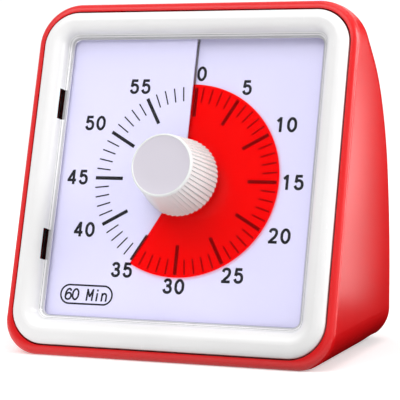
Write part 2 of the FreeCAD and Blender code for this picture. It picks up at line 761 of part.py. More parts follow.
def dial_tray():
    width = CARD_WIDTH
    height = CARD_HEIGHT
    up = WINDOW_UP - DIAL_UP
    floor = rounded_block(width, height, CARD_CORNER, TRAY_UNDER, TRAY_FLOOR_TOP, up)
    rim = rounded_block(width, height, CARD_CORNER, TRAY_FLOOR_TOP, CARD_START + 4.0, up)
    room = rounded_block(
        width - 2.0 * TRAY_RIM,
        height - 2.0 * TRAY_RIM,
        CARD_CORNER / 2.0,
        TRAY_FLOOR_TOP,
        CARD_START + 5.0,
        up,
    )
    under_card = helical_plate(
        CARD_HOLE_RADIUS,
        BEZEL_HEIGHT * 0.7,
        TRAY_FLOOR_TOP - DIAL_PITCH - 1.0,
        CARD_START - CARD_THICKNESS / 2.0,
        0.9999,
    )
    slot = box(-CARD_SLIT, CARD_SLIT, 0.0, BEZEL_HEIGHT, TRAY_FLOOR_TOP, CARD_START + 5.0)
    rim = rim.cut(room).common(under_card).cut(slot)
    ears = [disc(TRAY_EAR_RADIUS, TRAY_UNDER, TRAY_FLOOR_TOP, x, y - DIAL_UP) for x, y in POSTS]
    bosses = [disc(EAR_RADIUS - 1.2, TRAY_FLOOR_TOP - 0.5, TRAY_BOSS_TOP, x, y) for x, y in EARS]
    tray = union([floor, rim] + ears + bosses)
    cutters = [disc(POST_RADIUS + 0.12, -BIG, BIG, x, y - DIAL_UP) for x, y in POSTS]
    cutters.append(disc(SHAFT_RADIUS + 1.5, TRAY_UNDER - 1.0, TRAY_FLOOR_TOP + 1.0))
    for x, y in EARS:
        cutters.append(disc(SMALL_SCREW_RADIUS, TRAY_UNDER - 1.0, TRAY_BOSS_TOP - 0.3, x, y))
    return dial_shape(tray.cut(cutters))


def red_disc():
    share = 1.0 - FILM_END_GAP / 360.0
    film = helical_plate(
        HUB_RADIUS, FILM_RADIUS, -FILM_THICKNESS / 2.0, FILM_THICKNESS / 2.0, share
    )
    tail_turn = 360.0 - FILM_REST_TURN - FILM_END_GAP / 2.0
    film.rotate(vec(0, 0, 0), vec(0, 0, 1), tail_turn)
    film.translate(vec(0.0, 0.0, CARD_START + DISC_GAP - DIAL_PITCH * tail_turn / 360.0))
    return dial_shape(film)


def shaft_bar(radius, low, high):
    """Make a round bar with one flat, the section that drives the knob and the hub."""
    bar = disc(radius, low, high)
    flat = box(-BIG, BIG, radius - SHAFT_FLAT, BIG, low - 1.0, high + 1.0)
    return bar.cut(flat)


def disc_hub():
    tail = DIAL_PITCH * (360.0 - FILM_REST_TURN) / 360.0
    low = CARD_START + DISC_GAP - tail - HUB_BELOW - FILM_THICKNESS / 2.0
    hub = disc(HUB_RADIUS, low, low + HUB_HEIGHT)
    hub = hub.fuse(disc(HUB_RADIUS - 1.3, low, low + HUB_HEIGHT + 0.6))
    bore = disc(SHAFT_RADIUS + RUNNING_FIT, low - 1.0, low + HUB_HEIGHT + 2.0)
    flat = box(
        -BIG, BIG, SHAFT_RADIUS - SHAFT_FLAT + RUNNING_FIT, BIG, low - 2.0, low + HUB_HEIGHT + 3.0
    )
    return dial_shape(hub.cut(bore.cut(flat)).removeSplitter())


def knob_shaft():
    flatted = shaft_bar(SHAFT_RADIUS, TRAY_UNDER, SHAFT_TOP)
    plain = disc(SHAFT_RADIUS, CASE_BOTTOM, TRAY_UNDER)
    spring_under = CENTRE_LEVEL - SPRING_THICKNESS - 0.1
    collar = disc(COLLAR_RADIUS, spring_under - COLLAR_THICKNESS, spring_under)
    return dial_shape(union([flatted, plain, collar]))


def rib_wire(outer, z):
    """Draw one ring of saw-tooth ribs."""
    points = []
    for index in range(KNOB_RIBS):
        for share, loss in ((0.0, RIB_DEPTH), (0.3, 0.0), (0.7, 0.0)):
            angle = 2.0 * math.pi * (index + share) / KNOB_RIBS
            reach = outer - loss
            points.append(vec(reach * math.cos(angle), reach * math.sin(angle), z))
    points.append(points[0])
    return Part.makePolygon(points)


def knob():
    shoulder = KNOB_TOP - KNOB_CHAMFER
    ribs = Part.makeLoft(
        [rib_wire(KNOB_BASE_RADIUS, KNOB_BASE), rib_wire(KNOB_FRONT_RADIUS, shoulder)], True, True
    )
    cap = Part.makeCone(
        KNOB_FRONT_RADIUS,
        KNOB_FRONT_RADIUS - KNOB_CHAMFER,
        KNOB_CHAMFER,
        vec(0, 0, shoulder),
        vec(0, 0, 1),
    )
    body = ribs.fuse(cap)
    recess = ring(
        KNOB_RECESS_RADIUS, KNOB_HUB_RADIUS, KNOB_BASE - 1.0, KNOB_BASE + KNOB_RECESS_DEPTH
    )
    body = body.cut(recess)
    bore = shaft_bar(SHAFT_RADIUS, KNOB_BASE - 1.0, SHAFT_TOP)
    return dial_shape(body.cut(bore).removeSplitter())


def arbor_positions():
    """Place the arbors from the gear sizes so that every pair meets on its pitch circles."""
    steps = (
        ("third", "centre", CENTRE_TEETH + THIRD_PINION_TEETH, CENTRE_MODULE, THIRD_DIRECTION),
        ("fourth", "third", THIRD_TEETH + FOURTH_PINION_TEETH, THIRD_MODULE, FOURTH_DIRECTION),
        ("fifth", "fourth", FOURTH_TEETH + FIFTH_PINION_TEETH, FOURTH_MODULE, FIFTH_DIRECTION),
        ("rotor", "fifth", FIFTH_TEETH + ROTOR_PINION_TEETH, FIFTH_MODULE, ROTOR_DIRECTION),
    )
    places = {"centre": (0.0, 0.0)}
    for name, before, teeth, module, direction in steps:
        reach = teeth * module / 2.0
        angle = math.radians(direction)
        x, y = places[before]
        places[name] = (x + reach * math.cos(angle), y + reach * math.sin(angle))
    return places


ARBORS = arbor_positions()


def gear(teeth, module, low, high, place, tooth_direction):
    """Make a spur gear with one tooth centred on the given direction."""
    pitch_radius = teeth * module / 2.0
    tip = pitch_radius + 0.8 * module
    root = pitch_radius - 1.1 * module
    points = []
    for index in range(teeth):
        middle = math.radians(tooth_direction) + 2.0 * math.pi * index / teeth
        for radius, share in ((root, -0.3), (tip, -0.12), (tip, 0.12), (root, 0.3)):
            angle = middle + share * 2.0 * math.pi / teeth
            points.append(
                vec(place[0] + radius * math.cos(angle), place[1] + radius * math.sin(angle), low)
            )
    points.append(points[0])
    return Part.Face(Part.makePolygon(points)).extrude(vec(0.0, 0.0, high - low))


def pinion(teeth, module, wheel_level, place, direction):
    """Make the pinion that a wheel drives: a gap of it faces back to the wheel."""
    gap_direction = direction + 180.0 + 180.0 / teeth
    return gear(
        teeth,
        module,
        wheel_level - PINION_EXTRA,
        wheel_level + WHEEL_THICKNESS + PINION_EXTRA,
        place,
        gap_direction,
    )


def arbor(place):
    """Make an arbor whose two ends stand in blind holes of the case."""
    low = CASE_BOTTOM + CASE_WALL - PIVOT_DEPTH
    high = CASE_TOP - CASE_WALL + PIVOT_DEPTH
    return disc(ARBOR_RADIUS, low, high, place[0], place[1])


def center_wheel():
    top = CENTRE_LEVEL + WHEEL_THICKNESS
    wheel = gear(
        CENTRE_TEETH, CENTRE_MODULE, CENTRE_LEVEL, top, ARBORS["centre"], THIRD_DIRECTION
    )
    windows = []
    for index in range(WHEEL_WINDOWS):
        angle = 2.0 * math.pi * index / WHEEL_WINDOWS
        x = WINDOW_CIRCLE * math.cos(angle)
        y = WINDOW_CIRCLE * math.sin(angle)
        windows.append(disc(WHEEL_WINDOW_RADIUS, CENTRE_LEVEL - 1.0, top + 1.0, x, y))
    windows.append(disc(SHAFT_RADIUS + RUNNING_FIT, CENTRE_LEVEL - 1.0, top + 1.0))
    return dial_shape(wheel.cut(windows))


def train_wheel(name, teeth, module, level, next_direction, pinion_values):
    """Make a wheel, its arbor and the pinion that the wheel before it meets."""
    place = ARBORS[name]
    wheel = gear(teeth, module, level, level + WHEEL_THICKNESS, place, next_direction)
    pinion_teeth, pinion_module, pinion_level, pinion_direction = pinion_values
    small = pinion(pinion_teeth, pinion_module, pinion_level, place, pinion_direction)
    hub_radius = pinion_teeth * pinion_module * 0.3
    hub_high = pinion_level - PINION_EXTRA
    parts = [wheel, small, arbor(place)]
    if hub_high > level:
        parts.append(disc(hub_radius, level, hub_high + 0.1, place[0], place[1]))
    return dial_shape(union(parts))


def third_wheel():
    return train_wheel(
        "third",
        THIRD_TEETH,
        THIRD_MODULE,
        THIRD_LEVEL,
        FOURTH_DIRECTION,
        (THIRD_PINION_TEETH, CENTRE_MODULE, CENTRE_LEVEL, THIRD_DIRECTION),
    )


def fourth_wheel():
    return train_wheel(
        "fourth",
        FOURTH_TEETH,
        FOURTH_MODULE,
        FOURTH_LEVEL,
        FIFTH_DIRECTION,
        (FOURTH_PINION_TEETH, THIRD_MODULE, THIRD_LEVEL, FOURTH_DIRECTION),
    )


def fifth_wheel():
    return train_wheel(
        "fifth",
        FIFTH_TEETH,
        FIFTH_MODULE,
        FIFTH_LEVEL,
        ROTOR_DIRECTION,
        (FIFTH_PINION_TEETH, FOURTH_MODULE, FOURTH_LEVEL, FIFTH_DIRECTION),
    )


def rotor_pinion():
    place = ARBORS["rotor"]
    small = pinion(ROTOR_PINION_TEETH, FIFTH_MODULE, FIFTH_LEVEL, place, ROTOR_DIRECTION)
    return dial_shape(union([small, arbor(place)]))


def rotor_magnet():
    x, y = ARBORS["rotor"]
    top = MAGNET_LEVEL + MAGNET_HEIGHT
    return dial_shape(ring(MAGNET_RADIUS, ARBOR_RADIUS, MAGNET_LEVEL, top, x, y))


def stator():
    x, y = ARBORS["rotor"]
    low = STATOR_LEVEL
    high = STATOR_LEVEL + STATOR_THICKNESS
    leg_top = COIL_Y + STATOR_LEG_OVER
    left = x - STATOR_RING_LEFT
    bar_right = left + STATOR_BAR
    near_leg = COIL_START_X - 1.0
    far_leg = COIL_END_X + 1.0
    bar_low = STATOR_BAR_TOP - STATOR_BAR
    parts = [
        box(left, x + STATOR_RING_RIGHT, y - STATOR_RING_HALF, y + STATOR_RING_HALF, low, high),
        box(far_leg, far_leg + STATOR_LEG, y, leg_top, low, high),
        box(left, bar_right, y, STATOR_BAR_TOP, low, high),
        box(near_leg - STATOR_LEG, bar_right, bar_low, STATOR_BAR_TOP, low, high),
        box(near_leg - STATOR_LEG, near_leg, bar_low, leg_top, low, high),
    ]
    plate = union(parts)
    hole = disc(MAGNET_RADIUS + STATOR_AIR_GAP, low - 1.0, high + 1.0, x, y)
    return dial_shape(plate.cut(hole))


def along_x(radius, x0, x1):
    return Part.makeCylinder(radius, x1 - x0, vec(x0, COIL_Y, CORE_Z), vec(1, 0, 0))


def coil_core():
    return dial_shape(
        box(
            COIL_START_X - 1.0 - STATOR_LEG,
            COIL_END_X + 1.0 + STATOR_LEG,
            COIL_Y - CORE_WIDTH / 2.0,
            COIL_Y + CORE_WIDTH / 2.0,
            STATOR_LEVEL - CORE_THICKNESS,
            STATOR_LEVEL,
        )
    )


def coil_bobbin():
    sleeve = along_x(BOBBIN_SLEEVE, COIL_START_X, COIL_END_X)
    flanges = [
        along_x(BOBBIN_RADIUS, COIL_START_X, COIL_START_X + BOBBIN_FLANGE),
        along_x(BOBBIN_RADIUS, COIL_END_X - BOBBIN_FLANGE, COIL_END_X),
    ]
    body = union([sleeve] + flanges)
    channel = box(
        COIL_START_X - 1.0,
        COIL_END_X + 1.0,
        COIL_Y - CORE_WIDTH / 2.0,
        COIL_Y + CORE_WIDTH / 2.0,
        STATOR_LEVEL - CORE_THICKNESS,
        STATOR_LEVEL,
    )
    return dial_shape(body.cut(channel))


def coil_winding():
    outer = along_x(WINDING_RADIUS, COIL_START_X + BOBBIN_FLANGE, COIL_END_X - BOBBIN_FLANGE)
    return dial_shape(outer.cut(along_x(BOBBIN_SLEEVE, COIL_START_X, COIL_END_X)))


def clutch_spring():
    high = CENTRE_LEVEL - 0.05
    body = ring(SPRING_RADIUS, SHAFT_RADIUS, high - SPRING_THICKNESS, high)
    slots = []
    half_slot = SPRING_SLOT / 2.0
    for index in range(SPRING_SLOTS):
        slot = box(
            SPRING_RADIUS - 1.0, SPRING_RADIUS + 1.0, -half_slot, half_slot, high - 2.0, high + 1.0
        )
        slot.rotate(vec(0, 0, 0), vec(0, 0, 1), 360.0 * index / SPRING_SLOTS)
        slots.append(slot)
    return dial_shape(body.cut(slots))


def zero_cam():
    body = ring(CAM_RADIUS, SHAFT_RADIUS, CAM_LEVEL, CAM_LEVEL + CAM_THICKNESS)
    x = CAM_RADIUS * math.cos(CAM_NOTCH_ANGLE)
    y = CAM_RADIUS * math.sin(CAM_NOTCH_ANGLE)
    notch = disc(CAM_NOTCH, CAM_LEVEL - 1.0, CAM_LEVEL + CAM_THICKNESS + 1.0, x, y)
    return dial_shape(body.cut(notch))


def zero_contact():
    high = CAM_LEVEL + CAM_THICKNESS
    tip = -CAM_RADIUS - LEAF_GAP
    half = LEAF_THICKNESS / 2.0
    leaf = box(LEAF_FOOT_X, tip, -half, half, CAM_LEVEL, high)
    dimple = disc(2.0 * LEAF_THICKNESS, CAM_LEVEL, high, tip - 2.0 * LEAF_THICKNESS, 0.0)
    foot = box(
        LEAF_FOOT_X - 1.5, LEAF_FOOT_X + 1.5, -1.5, 1.5, CASE_BOTTOM + CASE_WALL, high
    )
    return dial_shape(union([leaf, dimple, foot]))


def case_shell(low, high, floor_low, floor_high):
    """Make one square half of the movement case with its floor."""
    size = 2.0 * CASE_HALF
    body = rounded_block(size, size, CASE_CORNER, low, high)
    inner = size - 2.0 * CASE_WALL
    room = rounded_block(inner, inner, CASE_CORNER - CASE_WALL, low - 1.0, high + 1.0)
    floor = rounded_block(size, size, CASE_CORNER, floor_low, floor_high)
    return union([body.cut(room), floor])


def bearing_holes(low, high):
    return [
        disc(ARBOR_RADIUS + ARBOR_FIT, low, high, ARBORS[name][0], ARBORS[name][1])
        for name in ("third", "fourth", "fifth", "rotor")
    ]


def stator_rests(low, high):
    """Make the two posts of the case that hold the stator between them."""
    return [
        box(*NEAR_REST, low, high),
        box(*FAR_REST, low, high),
    ]


def movement_case_front():
    body = case_shell(CASE_SPLIT, CASE_TOP, CASE_TOP - CASE_WALL, CASE_TOP)
    ears = []
    for x, y in EARS:
        side = 1.0 if x > 0 else -1.0
        near = side * (CASE_HALF - 0.5)
        ears.append(disc(EAR_RADIUS, CASE_TOP - EAR_THICKNESS, CASE_TOP, x, y))
        ears.append(
            box(
                min(near, x),
                max(near, x),
                y - EAR_RADIUS,
                y + EAR_RADIUS,
                CASE_TOP - EAR_THICKNESS,
                CASE_TOP,
            )
        )
    bearing = disc(SHAFT_RADIUS + 1.4, CASE_TOP - CASE_WALL - 0.8, CASE_TOP - CASE_WALL)
    rests = stator_rests(STATOR_LEVEL + STATOR_THICKNESS, CASE_TOP - CASE_WALL)
    body = union([body, bearing] + rests + ears)
    cutters = bearing_holes(
        CASE_TOP - CASE_WALL - 1.0, CASE_TOP - CASE_WALL + PIVOT_DEPTH + ARBOR_FIT
    )
    cutters.append(disc(SHAFT_RADIUS + RUNNING_FIT, CASE_TOP - 4.0, CASE_TOP + 1.0))
    for x, y in EARS:
        cutters.append(disc(SMALL_SCREW_RADIUS + SHANK_CLEARANCE, CASE_TOP - 4.0, CASE_TOP + 1.0, x, y))
    return dial_shape(body.cut(cutters))


def movement_case_back():
    body = case_shell(CASE_BOTTOM, CASE_SPLIT, CASE_BOTTOM, CASE_BOTTOM + CASE_WALL)
    posts = [disc(2.0, BOARD_FACE, CASE_BOTTOM, x, y) for x, y in BOARD_HOLES]
    rests = stator_rests(CASE_BOTTOM + CASE_WALL, STATOR_LEVEL)
    body = union([body] + rests + posts)
    cutters = bearing_holes(
        CASE_BOTTOM + CASE_WALL - PIVOT_DEPTH - ARBOR_FIT, CASE_BOTTOM + CASE_WALL + 1.0
    )
    cutters.append(disc(SHAFT_RADIUS + RUNNING_FIT, CASE_BOTTOM - 1.0, CASE_BOTTOM + 4.0))
    for x, y in BOARD_HOLES:
        cutters.append(disc(SMALL_SCREW_RADIUS, BOARD_FACE - 1.0, CASE_BOTTOM + 0.4, x, y))
    return dial_shape(body.cut(cutters))


def screw(radius, head, head_height, head_low, tip, x, y):
    """Make a pan-head screw that points along the dial frame's z, with a cross recess."""
    shank = disc(radius, head_low, tip, x, y)
    top = Part.makeCone(head * 0.75, head, head_height * 0.45, vec(x, y, head_low), vec(0, 0, 1))
    body = disc(head, head_low + head_height * 0.45, head_low + head_height, x, y)
    blade = head * 0.6
    half = head * 0.2
    low = head_low - 1.0
    deep = head_low + head_height * 0.5
    slots = [
        box(x - blade, x + blade, y - half, y + half, low, deep),
        box(x - half, x + half, y - blade, y + blade, low, deep),
    ]
    return union([shank, top, body]).cut(slots)


def housing_screws():
    head_low = WEB_UNDER - HOUSING_SCREW_HEAD_HEIGHT
    tip = FRAME_UNDER - 2.0
    sizes = (HOUSING_SCREW_RADIUS, HOUSING_SCREW_HEAD, HOUSING_SCREW_HEAD_HEIGHT)
    parts = [screw(*sizes, head_low, tip, x, y) for x, y in POSTS]
    return to_desk(Part.makeCompound(parts))


def movement_screws():
    head_low = CASE_TOP - EAR_THICKNESS - SMALL_SCREW_HEAD_HEIGHT
    tip = TRAY_BOSS_TOP - 0.5
    parts = [screw(*SMALL_SCREW, head_low, tip, x, y) for x, y in EARS]
    return dial_shape(Part.makeCompound(parts))


def board_screws():
    head_low = BOARD_BACK - SMALL_SCREW_HEAD_HEIGHT
    parts = [screw(*SMALL_SCREW, head_low, CASE_BOTTOM, x, y) for x, y in BOARD_HOLES]
    return dial_shape(Part.makeCompound(parts))


def circuit_board():
    board = rounded_block(BOARD_WIDTH, BOARD_HEIGHT, 1.5, BOARD_BACK, BOARD_FACE)
    bore = SMALL_SCREW_RADIUS + SHANK_CLEARANCE
    holes = [disc(bore, BOARD_BACK - 1.0, BOARD_FACE + 1.0, x, y) for x, y in BOARD_HOLES]
    return dial_shape(board.cut(holes))


def controller_chip():
    dome_radius = (CHIP_RADIUS * CHIP_RADIUS + CHIP_HEIGHT * CHIP_HEIGHT) / (2.0 * CHIP_HEIGHT)
    low = BOARD_BACK - CHIP_HEIGHT
    ball = Part.makeSphere(dome_radius, vec(0.0, CHIP_Y, low + dome_radius))
    dome = ball.common(disc(CHIP_RADIUS + 1.0, low - 1.0, BOARD_BACK, 0.0, CHIP_Y))
    return dial_shape(dome)


def crystal_can():
    """Make the lying crystal with its two bent legs soldered to the board."""
    z = BOARD_BACK - CRYSTAL_RADIUS
    half = CRYSTAL_LEG / 2.0
    foot_x = CRYSTAL_X - 2.0
    parts = [
        Part.makeCylinder(CRYSTAL_RADIUS, CRYSTAL_LENGTH, vec(CRYSTAL_X, CRYSTAL_Y, z), vec(1, 0, 0)),
        Part.makeCylinder(
            CRYSTAL_RADIUS * 0.8, CRYSTAL_LEG, vec(CRYSTAL_X - half, CRYSTAL_Y, z), vec(1, 0, 0)
        ),
    ]
    for side in (-1, 1):
        y = CRYSTAL_Y + 0.5 * side
        run_low = BOARD_BACK - 0.1 - CRYSTAL_LEG
        parts.append(box(foot_x, CRYSTAL_X, y - half, y + half, run_low, BOARD_BACK - 0.1))
        parts.append(box(foot_x, foot_x + CRYSTAL_LEG, y - half, y + half, run_low, BOARD_BACK))
        parts.append(
            box(CRYSTAL_X - CRYSTAL_LEG, CRYSTAL_X, y - half, y + half, z - half, BOARD_BACK - 0.1)
        )
    return dial_shape(union(parts))


def capacitor():
    low = BOARD_BACK - CAPACITOR_HEIGHT
    can = disc(CAPACITOR_RADIUS, low, BOARD_BACK - 0.4, CAPACITOR_X, CAPACITOR_Y)
    neck = disc(
        CAPACITOR_RADIUS * 0.8, BOARD_BACK - 0.6, BOARD_BACK, CAPACITOR_X, CAPACITOR_Y
    )
    return dial_shape(union([can, neck]))


def buzzer():
    body = desk_disc(BUZZER_RADIUS, BUZZER_FRONT, BUZZER_BACK, BUZZER_X, BUZZER_Z)
    mouth = desk_disc(BUZZER_MOUTH, BUZZER_BACK - 1.0, BUZZER_BACK + 1.0, BUZZER_X, BUZZER_Z)
    return body.cut(mouth)


def bay_bar(radius, x0, x1):
    """Make a round bar along the middle of the cell."""
    return Part.makeCylinder(radius, x1 - x0, vec(x0, CELL_Y, CELL_Z), vec(1, 0, 0))


def battery():
    half = CELL_LENGTH / 2.0
    can = bay_bar(CELL_RADIUS, -half, half)
    rims = [edge for edge in can.Edges if edge.BoundBox.XLength < 0.01]
    can = can.makeFillet(CELL_EDGE_ROUND, rims)
    return union([can, bay_bar(CELL_NUB_RADIUS, half - 0.5, half + CELL_NUB)])


def contact_sheet(x):
    """Make the contact's square plate and the tab that leaves the bay for its lead."""
    plate = box(
        x,
        x + CONTACT_THICKNESS,
        CELL_Y - CONTACT_HALF,
        CELL_Y + CONTACT_HALF,
        CELL_Z - CONTACT_HALF,
        CELL_Z + CONTACT_HALF,
    )
    tab = box(
        x,
        x + CONTACT_THICKNESS,
        BAY_FRONT - CONTACT_TAB_REACH,
        CELL_Y,
        CELL_Z - CONTACT_TAB_HALF,
        CELL_Z + CONTACT_TAB_HALF,
    )
    return [plate, tab]


def battery_contact_plate():
    reach = CELL_LENGTH / 2.0 + CELL_NUB
    wall = BAY_HALF_LENGTH - CONTACT_THICKNESS
    bump = Part.makeCone(
        CELL_NUB_RADIUS + 0.8,
        CELL_NUB_RADIUS - 0.1,
        wall - reach,
        vec(wall, CELL_Y, CELL_Z),
        vec(-1, 0, 0),
    )
    return union(contact_sheet(wall) + [bump])


def battery_contact_spring():
    wall = -BAY_HALF_LENGTH
    length = -CELL_LENGTH / 2.0 - wall - CONTACT_THICKNESS - 2.0 * SPRING_WIRE
    path = Part.makeHelix(length / SPRING_TURNS, length, SPRING_COIL_RADIUS, SPRING_CONE)
    start = path.Edges[0].valueAt(path.Edges[0].FirstParameter)
    profile = Part.Wire([Part.makeCircle(SPRING_WIRE, start, vec(0, 1, 0))])
    coil = Part.Wire(path).makePipeShell([profile], True, True)
    coil.rotate(vec(0, 0, 0), vec(0, 1, 0), 90.0)
    coil.translate(vec(wall + CONTACT_THICKNESS + SPRING_WIRE, CELL_Y, CELL_Z))
    return Part.makeCompound([union(contact_sheet(wall)), coil])


def battery_door():
    panel = outer_body().common(
        box(
            -BAY_HALF_LENGTH + DOOR_GAP,
            BAY_HALF_LENGTH - DOOR_GAP,
            BACK_Y - WALL,
            BACK_Y + 1.0,
            HINGE_Z,
            BAY_TOP - DOOR_GAP,
        )
    )
    half = BAY_HALF_LENGTH - DOOR_GAP
    barrel = hinge_bar(WALL / 2.0, half)
    pins = hinge_bar(DOOR_PIN_RADIUS, BAY_HALF_LENGTH + BAY_WALL - 0.5)
    grip = desk_disc(GRIP_RADIUS, BACK_Y - 0.7, BACK_Y + 1.0, 0.0, BAY_TOP - 1.5)
    return union([panel, barrel, pins]).cut(grip)


def volume_switch_body():
    body = switch_box(0.0, SWITCH_FRONT, SWITCH_BACK)
    half_track = (SLIDER_TRAVEL + SLIDER_STEM) / 2.0 + 1.1
    track = box(
        SWITCH_X - half_track,
        SWITCH_X + half_track,
        SWITCH_BACK - 0.5,
        SWITCH_BACK + 1.0,
        SWITCH_Z - SLIDER_STEM_HEIGHT / 2.0 - 0.2,
        SWITCH_Z + SLIDER_STEM_HEIGHT / 2.0 + 0.2,
    )
    pins = []
    for step in (-1, 0, 1):
        x = SWITCH_X + SWITCH_PIN_PITCH * step
        pins.append(
            box(
                x - 0.4,
                x + 0.4,
                SWITCH_FRONT - SWITCH_PIN_PITCH,
                SWITCH_FRONT + 0.5,
                SWITCH_Z - 0.15,
                SWITCH_Z + 0.15,
            )
        )
    return union([body.cut(track)] + pins)


def volume_slider():
    middle = SWITCH_X - SLIDER_TRAVEL / 2.0
    half = SLIDER_STEM / 2.0
    half_height = SLIDER_STEM_HEIGHT / 2.0
    stem = box(
        middle - half,
        middle + half,
        SWITCH_BACK - 0.4,
        BACK_Y - 1.9,
        SWITCH_Z - half_height,
        SWITCH_Z + half_height,
    )
    grooves = []
    for step in (-1, 0, 1):
        x = middle + 0.9 * step
        grooves.append(box(x - 0.2, x + 0.2, BACK_Y - 2.2, BACK_Y, SWITCH_Z - 2.0, SWITCH_Z + 2.0))
    return stem.cut(grooves)


def lead(points):
    """Run a round insulated wire through the points in straight runs joined by tangent arcs."""
    edges = []
    last = points[0]
    for before, corner, after in zip(points, points[1:], points[2:]):
        back = before - corner
        ahead = after - corner
        trim = BEND_SHARE * min(back.Length, ahead.Length)
        back.normalize()
        ahead.normalize()
        half_turn = (math.pi - back.getAngle(ahead)) / 2.0
        radius = trim / math.tan(half_turn)
        inward = back + ahead
        inward.normalize()
        middle = corner + inward * (radius / math.cos(half_turn) - radius)
        enter = corner + back * trim
        leave = corner + ahead * trim
        edges.append(Part.makeLine(last, enter))
        edges.append(Part.Arc(enter, middle, leave).toShape())
        last = leave
    edges.append(Part.makeLine(last, points[-1]))
    profile = Part.Wire([Part.makeCircle(LEAD_RADIUS, points[0], points[1] - points[0])])
    return Part.Wire(edges).makePipeShell([profile], True, False)


def battery_lead(side):
    """Lead one wire from its contact tab to the board, clear of the case and the bay."""
    x = side * (BAY_HALF_LENGTH - CONTACT_THICKNESS - LEAD_RADIUS)
    start = vec(x, BAY_FRONT - CONTACT_TAB_REACH + LEAD_RADIUS, CELL_Z)
    first_corner = start - vec(0.0, LEAD_FIRST_RUN, 0.0)
    end = desk_point(side * LEAD_X, LEAD_Y, BOARD_BACK - 0.02)
    last_corner = desk_point(side * LEAD_X, LEAD_Y, BOARD_BACK - LEAD_LAST_RUN)
    return lead([start, first_corner, last_corner, end])


def battery_lead_red():
    return battery_lead(1.0)


def battery_lead_black():
    return battery_lead(-1.0)


PIECES = (
    rear_housing,
    front_frame,
    lens,
    dial_card,
    dial_tray,
    red_disc,
    disc_hub,
    knob_shaft,
    knob,
    clutch_spring,
    zero_cam,
    zero_contact,
    movement_case_front,
    movement_case_back,
    center_wheel,
    third_wheel,
    fourth_wheel,
    fifth_wheel,
    rotor_pinion,
    rotor_magnet,
    stator,
    coil_core,
    coil_bobbin,
    coil_winding,
    circuit_board,
    controller_chip,
    crystal_can,
    capacitor,
    buzzer,
    battery,
    battery_contact_plate,
    battery_contact_spring,
    battery_door,
    volume_switch_body,
    volume_slider,
    housing_screws,
    movement_screws,
    board_screws,
    battery_lead_red,
    battery_lead_black,
)

os.makedirs("parts", exist_ok=True)
for piece in PIECES:
    shape = piece()
    shape.exportStep("parts/" + piece.__name__ + ".step")
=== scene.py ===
import math

import bpy
from mathutils import Matrix, Vector


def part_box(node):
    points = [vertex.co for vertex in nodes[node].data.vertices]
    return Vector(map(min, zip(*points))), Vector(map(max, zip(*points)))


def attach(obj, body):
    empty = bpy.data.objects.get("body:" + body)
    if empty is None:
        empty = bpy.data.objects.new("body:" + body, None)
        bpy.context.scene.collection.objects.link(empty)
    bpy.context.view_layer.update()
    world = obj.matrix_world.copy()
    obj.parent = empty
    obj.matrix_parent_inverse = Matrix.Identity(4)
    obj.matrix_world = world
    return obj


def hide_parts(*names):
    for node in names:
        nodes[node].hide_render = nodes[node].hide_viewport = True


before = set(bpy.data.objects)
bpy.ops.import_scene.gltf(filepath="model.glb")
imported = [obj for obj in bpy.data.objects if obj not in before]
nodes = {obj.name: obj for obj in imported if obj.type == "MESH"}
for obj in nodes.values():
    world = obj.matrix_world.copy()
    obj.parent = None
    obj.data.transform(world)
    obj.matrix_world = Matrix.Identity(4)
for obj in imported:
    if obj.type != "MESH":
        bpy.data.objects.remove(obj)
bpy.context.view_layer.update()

# ---------------------------------------------------------------------------------------------
# Table, studio and camera. A pale board curves up behind the timer like a photographer's sweep,
# so that no horizon shows. Four soft boxes light it, cards that no camera sees tune its gloss,
# and the camera stands where the photographer's did: right of the dial, a little above the table.
# ---------------------------------------------------------------------------------------------
MM = 0.001
CAMERA_PLACE = Vector((0.15402, -0.40989, 0.07076))
CAMERA_RIGHT = Vector((0.93532, 0.35382, 0.0))
CAMERA_UP = Vector((-0.02533, 0.06697, 0.99743))
CAMERA_AHEAD = Vector((-0.35291, 0.93291, -0.07160))
CAMERA_LENS = 146.88
SENSOR_WIDTH = 36.0
TABLE_SIZE = (8.0, 5.0, 1.0)
TABLE_WHITE = (0.90, 0.90, 0.90, 1.0)
TABLE_GLOW = 0.40
TABLE_BOUNCE = 0.62
FOOT_BOUNCE = 0.02
FOOT_SHADE_MIDDLE = (0.095, 0.02, 0.0)
FOOT_SHADE_INNER = 0.03
FOOT_SHADE_OUTER = 0.15
SWEEP_START = 1.1
SWEEP_RADIUS = 0.9
SWEEP_STEPS = 24
BACKDROP_RISE = 4.0
AIR_GLOW = 0.62


def let_go():
    """Go back to object mode and select nothing."""
    if bpy.context.object and bpy.context.object.mode != "OBJECT":
        bpy.ops.object.mode_set(mode="OBJECT")
    bpy.ops.object.select_all(action="DESELECT")


def named(name):
    """Name the object that an operator has just made."""
    piece = bpy.context.object
    piece.name = name
    piece.data.name = name
    return piece


def put(tree, kind, settings=None, values=None):
    """Add a shader node with its settings and its socket values."""
    node = tree.nodes.new(kind)
    for key, value in (settings or {}).items():
        setattr(node, key, value)
    for key, value in (values or {}).items():
        node.inputs[key].default_value = value
    return node


def wire(tree, *links):
    """Join sockets: each link names a node and its output, then a node and its input."""
    for giver, output, taker, entry in links:
        tree.links.new(giver.outputs[output], taker.inputs[entry])


def tones(tree, first, second=None):
    """Add a mix of two colours; one that a texture gives is left out."""
    mix = put(tree, "ShaderNodeMix", {"data_type": "RGBA"})
    for entry, colour in (("A", first), ("B", second)):
        if colour:
            mix.inputs[entry].default_value = colour
    return mix


def new_material(name, values):
    """Start a material whose Principled shader holds the given constants."""
    material = bpy.data.materials.new(name)
    material.use_nodes = True
    tree = material.node_tree
    shader = tree.nodes["Principled BSDF"]
    for key, value in values.items():
        shader.inputs[key].default_value = value
    return material, tree, shader


